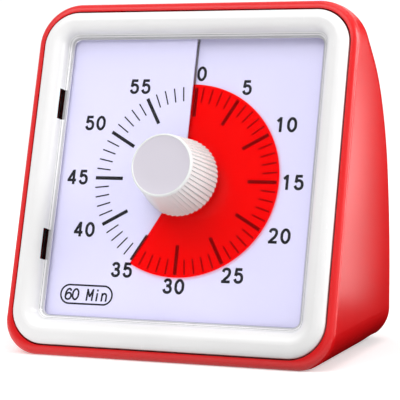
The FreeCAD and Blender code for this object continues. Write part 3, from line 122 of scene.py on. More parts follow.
let_go()
bpy.ops.mesh.primitive_plane_add(size=1.0, location=(0.0, 0.0, 0.0))
table = named("table_sweep")
bpy.ops.object.mode_set(mode="EDIT")
bpy.ops.transform.resize(value=TABLE_SIZE)
bpy.ops.transform.translate(value=(0.0, SWEEP_START - TABLE_SIZE[1] / 2.0, 0.0))
bpy.ops.object.mode_set(mode="OBJECT")
for vertex in table.data.vertices:
    vertex.select = vertex.co.y > SWEEP_START - 0.01
bpy.ops.object.mode_set(mode="EDIT")
bpy.ops.mesh.spin(
    steps=SWEEP_STEPS,
    angle=math.radians(-90.0),
    center=(0.0, SWEEP_START, SWEEP_RADIUS),
    axis=(1.0, 0.0, 0.0),
)
bpy.ops.mesh.extrude_region_move(TRANSFORM_OT_translate={"value": (0.0, 0.0, BACKDROP_RISE)})
bpy.ops.object.mode_set(mode="OBJECT")
bpy.ops.object.transform_apply(location=True, rotation=True, scale=True)
bpy.ops.object.shade_smooth()
table_paint, tree, shader = new_material(
    "pale_table", {"Specular IOR Level": 0.2, "Emission Strength": TABLE_GLOW}
)
spots = put(tree, "ShaderNodeTexNoise", values={"Scale": 400.0, "Detail": 4.0})
tone = put(tree, "ShaderNodeMapRange", values={"To Min": 0.80, "To Max": 0.88})
place = put(tree, "ShaderNodeTexCoord")
wire(
    tree,
    (place, "Object", spots, "Vector"),
    (spots, "Fac", tone, "Value"),
    (tone, "Result", shader, "Roughness"),
)
# What the board throws back on the timer is held down, so that the foot stays in shade.
way = put(tree, "ShaderNodeLightPath")
board = tones(tree, TABLE_WHITE)
away = put(tree, "ShaderNodeVectorMath", {"operation": "DISTANCE"})
away.inputs[1].default_value = FOOT_SHADE_MIDDLE
bounce = put(
    tree,
    "ShaderNodeMapRange",
    values={
        "From Min": FOOT_SHADE_INNER,
        "From Max": FOOT_SHADE_OUTER,
        "To Min": FOOT_BOUNCE,
        "To Max": TABLE_BOUNCE,
    },
)
wire(
    tree,
    (place, "Object", away, 0),
    (away, "Value", bounce, "Value"),
    (bounce, "Result", board, "B"),
    (way, "Is Diffuse Ray", board, "Factor"),
    (board, "Result", shader, "Base Color"),
    (board, "Result", shader, "Emission Color"),
)
table.data.materials.append(table_paint)


def soft_box(name, place, width, height, power):
    """Hang one soft box and turn it to the timer."""
    lamp = bpy.data.lights.new(name, "AREA")
    lamp.shape = "RECTANGLE"
    lamp.size = width
    lamp.size_y = height
    lamp.energy = power
    holder = bpy.data.objects.new(name, lamp)
    bpy.context.scene.collection.objects.link(holder)
    holder.location = place
    ahead = Vector(MIDDLE) - Vector(place)
    holder.rotation_euler = ahead.to_track_quat("-Z", "Y").to_euler()


MIDDLE = (0.0, 0.0, 0.045)
# Name, place, width, height and power.
soft_box("key_box", (-0.40, -0.95, 1.35), 1.8, 0.9, 9.5)
soft_box("top_box", (0.20, 0.10, 1.30), 0.8, 0.8, 2.5)
soft_box("right_box", (1.20, 0.05, 0.70), 0.6, 0.6, 9.5)
soft_box("edge_box", (1.10, 0.52, 0.26), 0.14, 0.8, 4.0)


def studio_card(name, material, place, target, width, height, shades=False):
    """Stand a card that only reflections see, or one that only holds light back."""
    let_go()
    bpy.ops.mesh.primitive_plane_add(size=1.0, location=(0.0, 0.0, 0.0))
    card = named(name)
    card.scale = (width, height, 1.0)
    bpy.ops.object.transform_apply(location=True, rotation=True, scale=True)
    ahead = Vector(target) - Vector(place)
    turn = ahead.to_track_quat("-Z", "Y").to_matrix().to_4x4()
    card.data.transform(Matrix.Translation(place) @ turn)
    card.data.materials.append(material)
    card.visible_camera = False
    card.visible_diffuse = False
    card.visible_transmission = False
    card.visible_shadow = shades
    card.visible_glossy = not shades


card_black, tree, shader = new_material(
    "card_black", {"Base Color": (0.0, 0.0, 0.0, 1.0), "Specular IOR Level": 0.0}
)
card_white, tree, shader = new_material(
    "card_white", {"Emission Color": (1.0, 1.0, 1.0, 1.0), "Emission Strength": 1.45}
)
# Name, card, place, what it faces, width and height.
studio_card("dial_card_black", card_black, (-0.45, -1.05, 0.56), MIDDLE, 0.9, 0.6)
studio_card(
    "side_card_black", card_black, (0.0207, 0.0692, 0.0535), (0.0030, 0.0224, 0.0535), 0.090, 0.105
)
studio_card("side_card_white", card_white, (0.26, 0.52, -0.02), (0.045, 0.0, 0.05), 0.34, 0.18)
studio_card("foot_card_black", card_black, (0.11, 0.035, 0.0006), (0.11, 0.035, 1.0), 0.16, 0.13)
studio_card("foot_shade", card_black, (0.085, 0.0, 0.012), (0.0, 0.0, 0.012), 0.20, 0.023, True)

world = bpy.data.worlds.new("studio_air")
bpy.context.scene.world = world
world.use_nodes = True
air = world.node_tree.nodes["Background"]
air.inputs["Color"].default_value = (1.0, 1.0, 1.0, 1.0)
air.inputs["Strength"].default_value = AIR_GLOW
bpy.context.scene.view_settings.view_transform = "Standard"
bpy.context.scene.view_settings.look = "None"

eye = bpy.data.cameras.new("photograph_camera")
eye.sensor_width = SENSOR_WIDTH
eye.lens = CAMERA_LENS
eye.clip_start = 0.01
camera = bpy.data.objects.new("photograph_camera", eye)
bpy.context.scene.collection.objects.link(camera)
camera.matrix_world = Matrix(
    (
        (CAMERA_RIGHT.x, CAMERA_UP.x, -CAMERA_AHEAD.x, CAMERA_PLACE.x),
        (CAMERA_RIGHT.y, CAMERA_UP.y, -CAMERA_AHEAD.y, CAMERA_PLACE.y),
        (CAMERA_RIGHT.z, CAMERA_UP.z, -CAMERA_AHEAD.z, CAMERA_PLACE.z),
        (0.0, 0.0, 0.0, 1.0),
    )
)
bpy.context.scene.camera = camera


# ---------------------------------------------------------------------------------------------
# Rear housing. One injection-moulded shell of glossy red ABS, with fine spark-eroded grain, a
# little uneven in shade, rubbed where a hand lifts it and scuffed where its foot meets the desk.
# ---------------------------------------------------------------------------------------------
HOUSING_RED = (0.80, 0.0052, 0.0075)
HOUSING_DEEP_RED = (0.76, 0.0042, 0.0062)
SCUFF_HEIGHT = 3.2 * MM
SCUFF_PALE = (0.45, 0.10, 0.10, 1.0)


def new_group(name, inputs, outputs):
    """Start a shader node group with named number inputs and number outputs."""
    group = bpy.data.node_groups.new(name, "ShaderNodeTree")
    for label, value in inputs.items():
        kind = "NodeSocketVector" if isinstance(value, tuple) else "NodeSocketFloat"
        socket = group.interface.new_socket(label, in_out="INPUT", socket_type=kind)
        socket.default_value = value
    for label in outputs:
        group.interface.new_socket(label, in_out="OUTPUT", socket_type="NodeSocketFloat")
    return group, group.nodes.new("NodeGroupInput"), group.nodes.new("NodeGroupOutput")


def use_group(tree, group, values):
    """Place a shared node group in a material with this material's own values."""
    node = tree.nodes.new("ShaderNodeGroup")
    node.node_tree = group
    for key, value in values.items():
        node.inputs[key].default_value = value
    return node


# Moulded skin: the grain of the tool, the uneven shade of the plastic and light rubbing.
moulded_skin, source, result = new_group(
    "moulded_skin", {"Grain": 9000.0, "Patch": 45.0, "Rubbing": 0.6}, ("Height", "Shade", "Rub")
)
place = put(moulded_skin, "ShaderNodeTexCoord")
grain = put(moulded_skin, "ShaderNodeTexNoise", values={"Detail": 3.0, "Roughness": 0.6})
patch = put(moulded_skin, "ShaderNodeTexNoise", values={"Detail": 5.0, "Roughness": 0.55})
stretch = put(moulded_skin, "ShaderNodeMapping", values={"Scale": (1.0, 1.0, 0.12)})
strokes = put(moulded_skin, "ShaderNodeTexNoise", values={"Scale": 1300.0, "Detail": 6.0})
rubbed = put(
    moulded_skin,
    "ShaderNodeMapRange",
    values={"From Min": 0.60, "From Max": 0.74, "To Min": 0.0, "To Max": 1.0},
)
weaken = put(moulded_skin, "ShaderNodeMath", {"operation": "MULTIPLY"})
for texture in (grain, patch):
    wire(moulded_skin, (place, "Object", texture, "Vector"))
wire(
    moulded_skin,
    (place, "Object", stretch, "Vector"),
    (stretch, "Vector", strokes, "Vector"),
    (source, "Grain", grain, "Scale"),
    (source, "Patch", patch, "Scale"),
    (strokes, "Fac", rubbed, "Value"),
    (rubbed, "Result", weaken, 0),
    (source, "Rubbing", weaken, 1),
    (grain, "Fac", result, "Height"),
    (patch, "Fac", result, "Shade"),
    (weaken, 0, result, "Rub"),
)


def roughen(tree, shader, gloss_from, rough, relief_from, bump):
    """Let one pattern vary the roughness and one raise the surface, by a strength and a depth."""
    gloss = put(tree, "ShaderNodeMapRange", values={"To Min": rough[0], "To Max": rough[1]})
    relief = put(tree, "ShaderNodeBump", values={"Strength": bump[0], "Distance": bump[1]})
    wire(
        tree,
        (*gloss_from, gloss, "Value"),
        (gloss, "Result", shader, "Roughness"),
        (*relief_from, relief, "Height"),
        (relief, "Normal", shader, "Normal"),
    )


def moulded(name, colour, deep, rough, grain=9000.0, bump=0.10, rubbing=0.6, shine=0.5):
    """Make a moulded plastic: two close shades, grain in its bump and rubbing in its gloss."""
    material, tree, shader = new_material(name, {"Specular IOR Level": shine})
    skin = use_group(tree, moulded_skin, {"Grain": grain, "Patch": 45.0, "Rubbing": rubbing})
    shades = tones(tree, (*deep, 1.0), (*colour, 1.0))
    even = put(tree, "ShaderNodeMapRange", values={"From Min": 0.30, "From Max": 0.62})
    wire(
        tree,
        (skin, "Shade", even, "Value"),
        (even, "Result", shades, "Factor"),
        (shades, "Result", shader, "Base Color"),
    )
    glosses = (rough, min(1.0, rough + 0.18))
    roughen(tree, shader, (skin, "Rub"), glosses, (skin, "Height"), (bump, 0.00004))
    return material, tree, shader, shades


def dress(material, *names):
    """Give CAD nodes their finish."""
    for name in names:
        for slot in nodes[name].material_slots:
            slot.material = material


housing_red, tree, shader, shades = moulded(
    "housing_red_abs", HOUSING_RED, HOUSING_DEEP_RED, 0.26, 7000.0, 0.10, 0.03
)
# Dust and scuffs gather on the lowest three millimetres of the foot.
height = put(tree, "ShaderNodeTexCoord")
split = put(tree, "ShaderNodeSeparateXYZ")
foot = put(tree, "ShaderNodeMapRange", values={"From Min": SCUFF_HEIGHT, "From Max": 0.0})
scuffs = put(tree, "ShaderNodeTexNoise", values={"Scale": 900.0, "Detail": 8.0})
marks = put(tree, "ShaderNodeMath", {"operation": "MULTIPLY"})
pale = put(tree, "ShaderNodeMapRange", values={"From Min": 0.45, "From Max": 0.8, "To Max": 0.35})
scuffed = tones(tree, None, SCUFF_PALE)
wire(
    tree,
    (height, "Object", split, "Vector"),
    (height, "Object", scuffs, "Vector"),
    (split, "Z", foot, "Value"),
    (foot, "Result", marks, 0),
    (scuffs, "Fac", marks, 1),
    (marks, 0, pale, "Value"),
    (pale, "Result", scuffed, "Factor"),
    (shades, "Result", scuffed, "A"),
    (scuffed, "Result", shader, "Base Color"),
)
dress(housing_red, "rear_housing", "battery_door")


# ---------------------------------------------------------------------------------------------
# Front frame. A soft pillow-edged bezel of glossy white ABS that drops into the red housing on
# four posts. Its valley holds the clear lens, whose two tabs show in the slots on the left.
# ---------------------------------------------------------------------------------------------
FRAME_WHITE = (0.93, 0.925, 0.925)
FRAME_SHADE = (0.90, 0.895, 0.895)
LEAN = math.radians(16.3)
FACE_Y = -18.640817 * MM
FACE_Z = 46.358596 * MM
WINDOW_UP = 0.7 * MM


def stand_on_face(tree, origin=(0.0, FACE_Y, FACE_Z)):
    """Measure places from an origin on the leaning face: right, up the face and out of it."""
    place = put(tree, "ShaderNodeTexCoord")
    on_face = put(
        tree,
        "ShaderNodeMapping",
        {"vector_type": "TEXTURE"},
        {"Location": origin, "Rotation": (math.pi / 2.0 - LEAN, 0.0, 0.0)},
    )
    split = put(tree, "ShaderNodeSeparateXYZ")
    wire(tree, (place, "Object", on_face, "Vector"), (on_face, "Vector", split, "Vector"))
    return split


frame_white, tree, shader, shades = moulded(
    "frame_white_abs", FRAME_WHITE, FRAME_SHADE, 0.22, grain=9000.0, bump=0.06, rubbing=0.4
)
# In the two slots the frame's white is painted dark maroon: painted shade for the deep pockets,
# which nothing lights.
SLOT_PAINTED_SHADE = (0.045, 0.0012, 0.0012, 1.0)
SLOT_FLANK = -36.3 * MM
SLOT_TOP = -0.25 * MM
SLOT_HALF_LENGTH = 4.15 * MM
SLOT_SPACING = 38.3 * MM
split = stand_on_face(tree)
from_middle = put(tree, "ShaderNodeMath", {"operation": "SUBTRACT"})
from_middle.inputs[1].default_value = WINDOW_UP
mirrored = put(tree, "ShaderNodeMath", {"operation": "ABSOLUTE"})
in_length = put(tree, "ShaderNodeMath", {"operation": "COMPARE"})
in_length.inputs[1].default_value = SLOT_SPACING / 2.0
in_length.inputs[2].default_value = SLOT_HALF_LENGTH
left_of = put(tree, "ShaderNodeMath", {"operation": "LESS_THAN"})
left_of.inputs[1].default_value = SLOT_FLANK
below = put(tree, "ShaderNodeMath", {"operation": "LESS_THAN"})
below.inputs[1].default_value = SLOT_TOP
corner = put(tree, "ShaderNodeMath", {"operation": "MULTIPLY"})
pocket = put(tree, "ShaderNodeMath", {"operation": "MULTIPLY"})
shaded = tones(tree, None, SLOT_PAINTED_SHADE)
wire(
    tree,
    (split, "Y", from_middle, 0),
    (from_middle, 0, mirrored, 0),
    (mirrored, 0, in_length, 0),
    (split, "X", left_of, 0),
    (split, "Z", below, 0),
    (in_length, 0, corner, 0),
    (left_of, 0, corner, 1),
    (corner, 0, pocket, 0),
    (below, 0, pocket, 1),
    (pocket, 0, shaded, "Factor"),
    (shades, "Result", shaded, "A"),
    (shaded, "Result", shader, "Base Color"),
)
dress(frame_white, "front_frame")


# ---------------------------------------------------------------------------------------------
# Dial card and tray. The card is lavender-coated board, wound as one shallow helical turn from
# the slit at 12 o'clock, on the rim of a white moulded tray.
# ---------------------------------------------------------------------------------------------
DIAL_UP = 0.4 * MM
CARD_MIDDLE = -5.46
CARD_THICKNESS = 0.45
CARD_FACE = (CARD_MIDDLE + CARD_THICKNESS / 2.0) * MM
DIAL_PITCH = 1.4 * MM
CARD_LAVENDER = (0.735, 0.715, 0.955)
CARD_SHADE = (0.715, 0.697, 0.935)
DIAL_TO_DESK = Matrix(
    (
        (1.0, 0.0, 0.0, 0.0),
        (0.0, math.sin(LEAN), -math.cos(LEAN), FACE_Y + DIAL_UP * math.sin(LEAN)),
        (0.0, math.cos(LEAN), math.sin(LEAN), FACE_Z + DIAL_UP * math.cos(LEAN)),
        (0.0, 0.0, 0.0, 1.0),
    )
)

card_stock, tree, shader = new_material("lavender_card_stock", {"Specular IOR Level": 0.3})
place = put(tree, "ShaderNodeTexCoord")
lay = put(tree, "ShaderNodeMapping", values={"Scale": (1.0, 1.0, 0.35)})
fibre = put(tree, "ShaderNodeTexNoise", values={"Scale": 5200.0, "Detail": 5.0})
cloud = put(tree, "ShaderNodeTexNoise", values={"Scale": 60.0, "Detail": 4.0})
coat = tones(tree, (*CARD_SHADE, 1.0), (*CARD_LAVENDER, 1.0))
wire(
    tree,
    (place, "Object", lay, "Vector"),
    (lay, "Vector", fibre, "Vector"),
    (place, "Object", cloud, "Vector"),
    (cloud, "Fac", coat, "Factor"),
    (coat, "Result", shader, "Base Color"),
)
roughen(tree, shader, (fibre, "Fac"), (0.48, 0.62), (fibre, "Fac"), (0.10, 0.00002))
dress(card_stock, "dial_card")

tray_white, tree, shader, shades = moulded(
    "tray_white_abs", (0.80, 0.80, 0.80), (0.76, 0.76, 0.76), 0.42, bump=0.12
)
dress(tray_white, "dial_tray")


# ---------------------------------------------------------------------------------------------
# Dial print. Black screen ink on the card: sixty minute marks, the numbers of every fifth
# minute and a pill-shaped label, each a skin of ink that follows the card's shallow winding.
# ---------------------------------------------------------------------------------------------
INK_THICKNESS = 0.05 * MM
MARK_OUTER = 25.1 * MM
MAJOR_LENGTH = 7.8 * MM
MAJOR_WIDTH = 0.92 * MM
MINOR_LENGTH = 3.9 * MM
MINOR_WIDTH = 0.36 * MM
MAJOR_ROUNDING = 0.06 * MM
MINOR_ROUNDING = 0.03 * MM
ZERO_MARK_SHIFT = 0.58 * MM
DIGIT_HALF_WIDTH = 0.98
DIGIT_HALF_HEIGHT = 1.66
DIGIT_ADVANCE = 3.30
DIGIT_STROKE = 0.76
# The numbers' places in millimetres from the shaft; the nought stands clear of the slit.
NUMBER_PLACES = {
    "0": (1.62, 29.0),
    "5": (14.6, 25.2),
    "10": (26.2, 15.3),
    "15": (29.4, 0.1),
    "20": (27.2, -13.9),
    "25": (15.7, -24.6),
    "30": (0.0, -28.1),
    "35": (-14.9, -24.4),
    "40": (-26.8, -14.0),
    "45": (-30.4, 0.1),
    "50": (-27.0, 15.0),
    "55": (-15.1, 25.1),
}
LABEL_PLACE = (-24.1, -31.4)
LABEL_HALF_LENGTH = 7.55
LABEL_HALF_HEIGHT = 2.7
LABEL_LINE = 0.46
LABEL_LETTER_LINE = 0.50
LABEL_HALF_LETTER = (0.80, 1.38)
LABEL_ADVANCE = 2.05
LABEL_CORNERS = 48
LABEL_SLANT = 0.08
# Centre lines of the letters in half widths and half heights: "c" is a corner, "s" is smooth.
# Straight lines are strokes of their own, which overlap where they meet.
LETTER_LINES = {
    "0": ["closed s 0 1 s .82 .6 s 1 0 s .82 -.6 s 0 -1 s -.82 -.6 s -1 0 s -.82 .6"],
    "1": ["open c .2 -1.2 c .2 1.2", "open c -.72 .5 c .2 1.02"],
    "2": [
        "open s -.88 .5 s -.64 .86 s 0 1 s .7 .84 s .9 .42 s .52 -.14 s -.3 -.62 c -.8 -1",
        "open c -1.25 -1 c 1.15 -1",
    ],
    "3": [
        "open s -.86 .6 s -.52 .9 s .02 1 s .66 .84 s .8 .5 s .5 .16 c -.3 .06",
        "open c -.3 .06 s .56 -.04 s .96 -.46 s .7 -.86 s 0 -1 s -.68 -.84 s -.96 -.48",
    ],
    "4": ["open c .5 -1.2 c .5 1.2", "open c .5 1.1 c -1 -.5", "open c -1.3 -.5 c 1.25 -.5"],
    "5": [
        "open c -.92 1 c .95 1",
        "open c -.6 1 c -.78 -.02",
        "open c -.8 .04 s -.4 .26 s .1 .32 s .76 .1 s .98 -.34 s .74 -.82 s .04 -1 s -.64 -.86"
        " s -.96 -.5",
    ],
    "6": [
        "open s .84 .6 s .5 .92 s 0 1 s -.72 .62 s -1 -.2 s -.76 -.82 s 0 -1 s .76 -.8"
        " s .98 -.38 s .76 .06 s .04 .22 s -.62 .02 s -.95 -.36",
    ],
    "M": [
        "open c -.95 -1.15 c -.95 1.15",
        "open c .95 -1.15 c .95 1.15",
        "open c -.95 1 c .02 -.4",
        "open c .95 1 c -.02 -.4",
    ],
    "i": ["open c 0 -1.15 c 0 .4", "open c 0 .72 c 0 1.1"],
    "n": [
        "open c -.75 -1.15 c -.75 .45",
        "open s -.75 -.1 s -.35 .28 s .2 .34 s .68 .08 s .78 -.4 c .78 -1.15",
    ],
}


def card_height(x, y):
    """Give the height of the card's winding at a place about the shaft."""
    share = (math.pi / 2.0 - math.atan2(y, x)) % (2.0 * math.pi) / (2.0 * math.pi)
    return CARD_FACE + DIAL_PITCH * share


def lay_on_card(piece):
    """Drape a flat print over the card's winding and carry it to its place on the desk."""
    for vertex in piece.data.vertices:
        x, y, z = vertex.co
        vertex.co.z = z + card_height(x, y)
    piece.data.transform(DIAL_TO_DESK)
    piece.data.update()


def join_all(pieces, name):
    """Join finished pieces into one object."""
    let_go()
    for piece in pieces:
        piece.select_set(True)
    bpy.context.view_layer.objects.active = pieces[0]
    bpy.ops.object.join()
    return named(name)


def minute_mark(name, length, width, rounding):
    """Print one mark: a bar of ink with softened corners, lying up the twelve o'clock line."""
    let_go()
    bpy.ops.mesh.primitive_cube_add(size=1.0, location=(0.0, MARK_OUTER - length / 2.0, 0.0))
    mark = named(name)
    mark.scale = (width, length, INK_THICKNESS)
    bpy.ops.object.transform_apply(location=True, rotation=True, scale=True)
    bpy.ops.object.mode_set(mode="EDIT")
    bpy.ops.mesh.select_all(action="DESELECT")
    bpy.ops.object.mode_set(mode="OBJECT")
    for edge in mark.data.edges:
        ends = [mark.data.vertices[index].co for index in edge.vertices]
        edge.select = abs(ends[0].z - ends[1].z) > INK_THICKNESS / 2.0
    bpy.ops.object.mode_set(mode="EDIT")
    bpy.ops.mesh.select_mode(type="EDGE")
    bpy.ops.mesh.bevel(offset=rounding, segments=2, affect="EDGES")
    bpy.ops.object.mode_set(mode="OBJECT")
    return mark


major = minute_mark("major_mark", MAJOR_LENGTH, MAJOR_WIDTH, MAJOR_ROUNDING)
minor = minute_mark("minor_mark", MINOR_LENGTH, MINOR_WIDTH, MINOR_ROUNDING)
marks = []
for minute in range(60):
    pattern = minor if minute % 5 else major
    mark = pattern.copy()
    mark.data = pattern.data.copy()
    bpy.context.scene.collection.objects.link(mark)
    if minute == 0:
        mark.data.transform(Matrix.Translation((ZERO_MARK_SHIFT, 0.0, 0.0)))
    mark.data.transform(Matrix.Rotation(math.radians(-6.0 * minute), 4, "Z"))
    marks.append(mark)
for pattern in (major, minor):
    bpy.data.objects.remove(pattern)
minute_marks = join_all(marks, "minute_marks")
lay_on_card(minute_marks)


def letter(sign, place, half_width, half_height, line, slant):
    """Draw one number or letter with a round pen that leaves square ends, pressed flat."""
    strokes = []
    for line_words in LETTER_LINES[sign]:
        kind, *words = line_words.split()
        points = [words[start:start + 3] for start in range(0, len(words), 3)]
        let_go()
        bpy.ops.curve.primitive_bezier_curve_add(location=(0.0, 0.0, 0.0))
        stroke = bpy.context.object
        curve = stroke.data
        curve.splines.remove(curve.splines[0])
        spline = curve.splines.new("BEZIER")
        spline.bezier_points.add(len(points) - 1)
        for knot, (handle, x, y) in zip(spline.bezier_points, points):
            y = float(y) * half_height
            x = float(x) * half_width + slant * y
            knot.co = ((place[0] + x) * MM, (place[1] + y) * MM, 0.0)
            corner = "VECTOR" if handle == "c" else "AUTO"
            knot.handle_left_type = corner
            knot.handle_right_type = corner
        spline.use_cyclic_u = kind == "closed"
        curve.dimensions = "3D"
        curve.resolution_u = 8
        curve.bevel_depth = line * MM / 2.0
        curve.bevel_resolution = 2
        curve.use_fill_caps = True
        bpy.ops.object.convert(target="MESH")
        bpy.ops.object.mode_set(mode="EDIT")
        bpy.ops.mesh.select_all(action="SELECT")
        bpy.ops.transform.resize(value=(1.0, 1.0, INK_THICKNESS / (line * MM)))
        bpy.ops.object.mode_set(mode="OBJECT")
        strokes.append(bpy.context.object)
    return strokes


def word(text, place, half_width, half_height, line, advance, slant):
    """Set a word about its middle."""
    strokes = []
    left = -(len(text) - 1) * advance / 2.0
    for index, sign in enumerate(text):
        if sign != " ":
            spot = (place[0] + left + index * advance, place[1])
            strokes += letter(sign, spot, half_width, half_height, line, slant)
    return strokes


strokes = []
for text, place in NUMBER_PLACES.items():
    strokes += word(
        text, place, DIGIT_HALF_WIDTH, DIGIT_HALF_HEIGHT, DIGIT_STROKE, DIGIT_ADVANCE, 0.0
    )
minute_numbers = join_all(strokes, "minute_numbers")
lay_on_card(minute_numbers)

strokes = word(
    "60 Min", LABEL_PLACE, *LABEL_HALF_LETTER, LABEL_LETTER_LINE, LABEL_ADVANCE, LABEL_SLANT
)
let_go()
bpy.ops.mesh.primitive_circle_add(
    vertices=LABEL_CORNERS,
    radius=LABEL_HALF_HEIGHT * MM,
    fill_type="NGON",
    location=(0.0, 0.0, 0.0),
)
pill = named("pill_outline")
for vertex in pill.data.vertices:
    side = 1.0 if vertex.co.x > 0.0 else -1.0
    vertex.co.x += side * (LABEL_HALF_LENGTH - LABEL_HALF_HEIGHT) * MM
pill.data.transform(Matrix.Translation((LABEL_PLACE[0] * MM, LABEL_PLACE[1] * MM, 0.0)))
bpy.ops.object.mode_set(mode="EDIT")
bpy.ops.mesh.select_all(action="SELECT")
bpy.ops.mesh.inset(thickness=LABEL_LINE * MM)
bpy.ops.mesh.delete(type="FACE")
bpy.ops.mesh.select_all(action="SELECT")
bpy.ops.mesh.extrude_region_move(
    TRANSFORM_OT_translate={"value": (0.0, 0.0, INK_THICKNESS / 2.0)}
)
bpy.ops.mesh.select_all(action="SELECT")
bpy.ops.mesh.normals_make_consistent(inside=False)
bpy.ops.object.mode_set(mode="OBJECT")
dial_label = join_all(strokes + [pill], "dial_label")
lay_on_card(dial_label)

screen_ink, tree, shader = new_material("black_screen_ink", {"Specular IOR Level": 0.2})
place = put(tree, "ShaderNodeTexCoord")
mesh_marks = put(tree, "ShaderNodeTexNoise", values={"Scale": 8000.0, "Detail": 3.0})
tone = tones(tree, (0.004, 0.004, 0.007, 1.0), (0.012, 0.012, 0.018, 1.0))
wire(
    tree,
    (place, "Object", mesh_marks, "Vector"),
    (mesh_marks, "Fac", tone, "Factor"),
    (tone, "Result", shader, "Base Color"),
)
roughen(tree, shader, (mesh_marks, "Fac"), (0.38, 0.55), (mesh_marks, "Fac"), (0.15, 0.00001))
for piece in (minute_marks, minute_numbers, dial_label):
    piece.data.materials.clear()
    piece.data.materials.append(screen_ink)
    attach(piece, "housing")


# ---------------------------------------------------------------------------------------------
# Red disc. A clear red film that shows the time left. It is clamped by a nylon hub on the shaft
# and screws through the slit of the card as the knob is turned; the print shows through it.
# ---------------------------------------------------------------------------------------------
FILM_RED = (1.0, 0.0016, 0.0035, 1.0)
FILM_SHADOW_RED = (1.0, 0.05, 0.06, 1.0)


def see_through(name, values, shadow, mottle, rough):
    """Make a clear plastic that lets the lamps' light through, with faint haze in its gloss."""
    material, tree, shader = new_material(name, values)
    place = put(tree, "ShaderNodeTexCoord")
    haze = put(tree, "ShaderNodeTexNoise", values={"Scale": mottle, "Detail": 4.0})
    gloss = put(tree, "ShaderNodeMapRange", values={"To Min": rough[0], "To Max": rough[1]})
    light = put(tree, "ShaderNodeLightPath")
    clear = put(tree, "ShaderNodeBsdfTransparent", values={"Color": shadow})
    blend = put(tree, "ShaderNodeMixShader")
    out = tree.nodes["Material Output"]
    wire(
        tree,
        (place, "Object", haze, "Vector"),
        (haze, "Fac", gloss, "Value"),
        (gloss, "Result", shader, "Roughness"),
        (light, "Is Shadow Ray", blend, "Fac"),
        (shader, "BSDF", blend, 1),
        (clear, "BSDF", blend, 2),
        (blend, "Shader", out, "Surface"),
    )
    return material, tree, shader


# The film is given a faint red glow of its own: painted light that lifts it brighter than its
# lamps make it.
red_film, tree, shader = see_through(
    "clear_red_film",
    {
        "Base Color": FILM_RED,
        "Transmission Weight": 0.98,
        "IOR": 1.1,
        "Specular IOR Level": 0.35,
        "Emission Color": FILM_RED,
        "Emission Strength": 0.07,
    },
    FILM_SHADOW_RED,
    70.0,
    (0.01, 0.04),
)
dress(red_film, "red_disc")

hub_nylon, tree, shader, shades = moulded(
    "hub_nylon", (0.78, 0.77, 0.73), (0.72, 0.71, 0.67), 0.45, bump=0.15
)
dress(hub_nylon, "disc_hub")


# ---------------------------------------------------------------------------------------------
# Lens. A thin clear acrylic pane with bevelled edges and a round hole for the knob's hub. It
# snaps into the frame's valley and keeps fingers off the card.
# ---------------------------------------------------------------------------------------------
PANE_CLEAR = (0.985, 0.985, 0.99, 1.0)
PANE_EDGE_PAINTED_SHADE = (0.55, 0.55, 0.57, 1.0)
PANE_HALF_WIDTH = 36.2 * MM
PANE_HALF_HEIGHT = 38.65 * MM
PANE_CORNER = 2.6 * MM
PANE_MIDDLE_LEVEL = -2.35 * MM
# A fine grey line is painted at the pane's edge, outside on the front and further in on the back:
# painted shade standing in for the edge's shadow.
PANE_EDGE_FRONT = -0.20 * MM
PANE_EDGE_BACK = -1.12 * MM

clear_acrylic, tree, shader = see_through(
    "clear_acrylic",
    {
        "Transmission Weight": 1.0,
        "IOR": 1.1,
        "Specular IOR Level": 0.4,
        "Coat Weight": 0.12,
        "Coat Roughness": 0.02,
    },
    (0.97, 0.97, 0.98, 1.0),
    40.0,
    (0.01, 0.03),
)
split = stand_on_face(tree)
beyond = put(tree, "ShaderNodeCombineXYZ")
middles = {"X": 0.0, "Y": WINDOW_UP}
halves = {"X": PANE_HALF_WIDTH, "Y": PANE_HALF_HEIGHT}
for axis in ("X", "Y"):
    shift = put(tree, "ShaderNodeMath", {"operation": "SUBTRACT"})
    shift.inputs[1].default_value = middles[axis]
    size = put(tree, "ShaderNodeMath", {"operation": "ABSOLUTE"})
    over = put(tree, "ShaderNodeMath", {"operation": "SUBTRACT"})
    over.inputs[1].default_value = halves[axis] - PANE_CORNER
    only = put(tree, "ShaderNodeMath", {"operation": "MAXIMUM"})
    only.inputs[1].default_value = 0.0
    wire(
        tree,
        (split, axis, shift, 0),
        (shift, 0, size, 0),
        (size, 0, over, 0),
        (over, 0, only, 0),
        (only, 0, beyond, axis),
    )
reach = put(tree, "ShaderNodeVectorMath", {"operation": "LENGTH"})
on_back = put(tree, "ShaderNodeMath", {"operation": "LESS_THAN"})
on_back.inputs[1].default_value = PANE_MIDDLE_LEVEL
limit = put(tree, "ShaderNodeMapRange")
limit.inputs["To Min"].default_value = PANE_CORNER + PANE_EDGE_FRONT
limit.inputs["To Max"].default_value = PANE_CORNER + PANE_EDGE_BACK
at_edge = put(tree, "ShaderNodeMath", {"operation": "GREATER_THAN"})
# The grey mixed in here is painted shade along the pane's edge.
edge_shade = tones(tree, PANE_CLEAR, PANE_EDGE_PAINTED_SHADE)
wire(
    tree,
    (beyond, "Vector", reach, 0),
    (split, "Z", on_back, 0),
    (on_back, 0, limit, "Value"),
    (reach, "Value", at_edge, 0),
    (limit, "Result", at_edge, 1),
    (at_edge, 0, edge_shade, "Factor"),
    (edge_shade, "Result", shader, "Base Color"),
)
dress(clear_acrylic, "lens")


# ---------------------------------------------------------------------------------------------
# Knob. White ABS, conical, with forty-eight ribs that widen to the base, a smooth rim and a
# slightly sunk satin front. It is pressed on the flatted steel shaft.
# ---------------------------------------------------------------------------------------------
KNOB_RIBS = 48
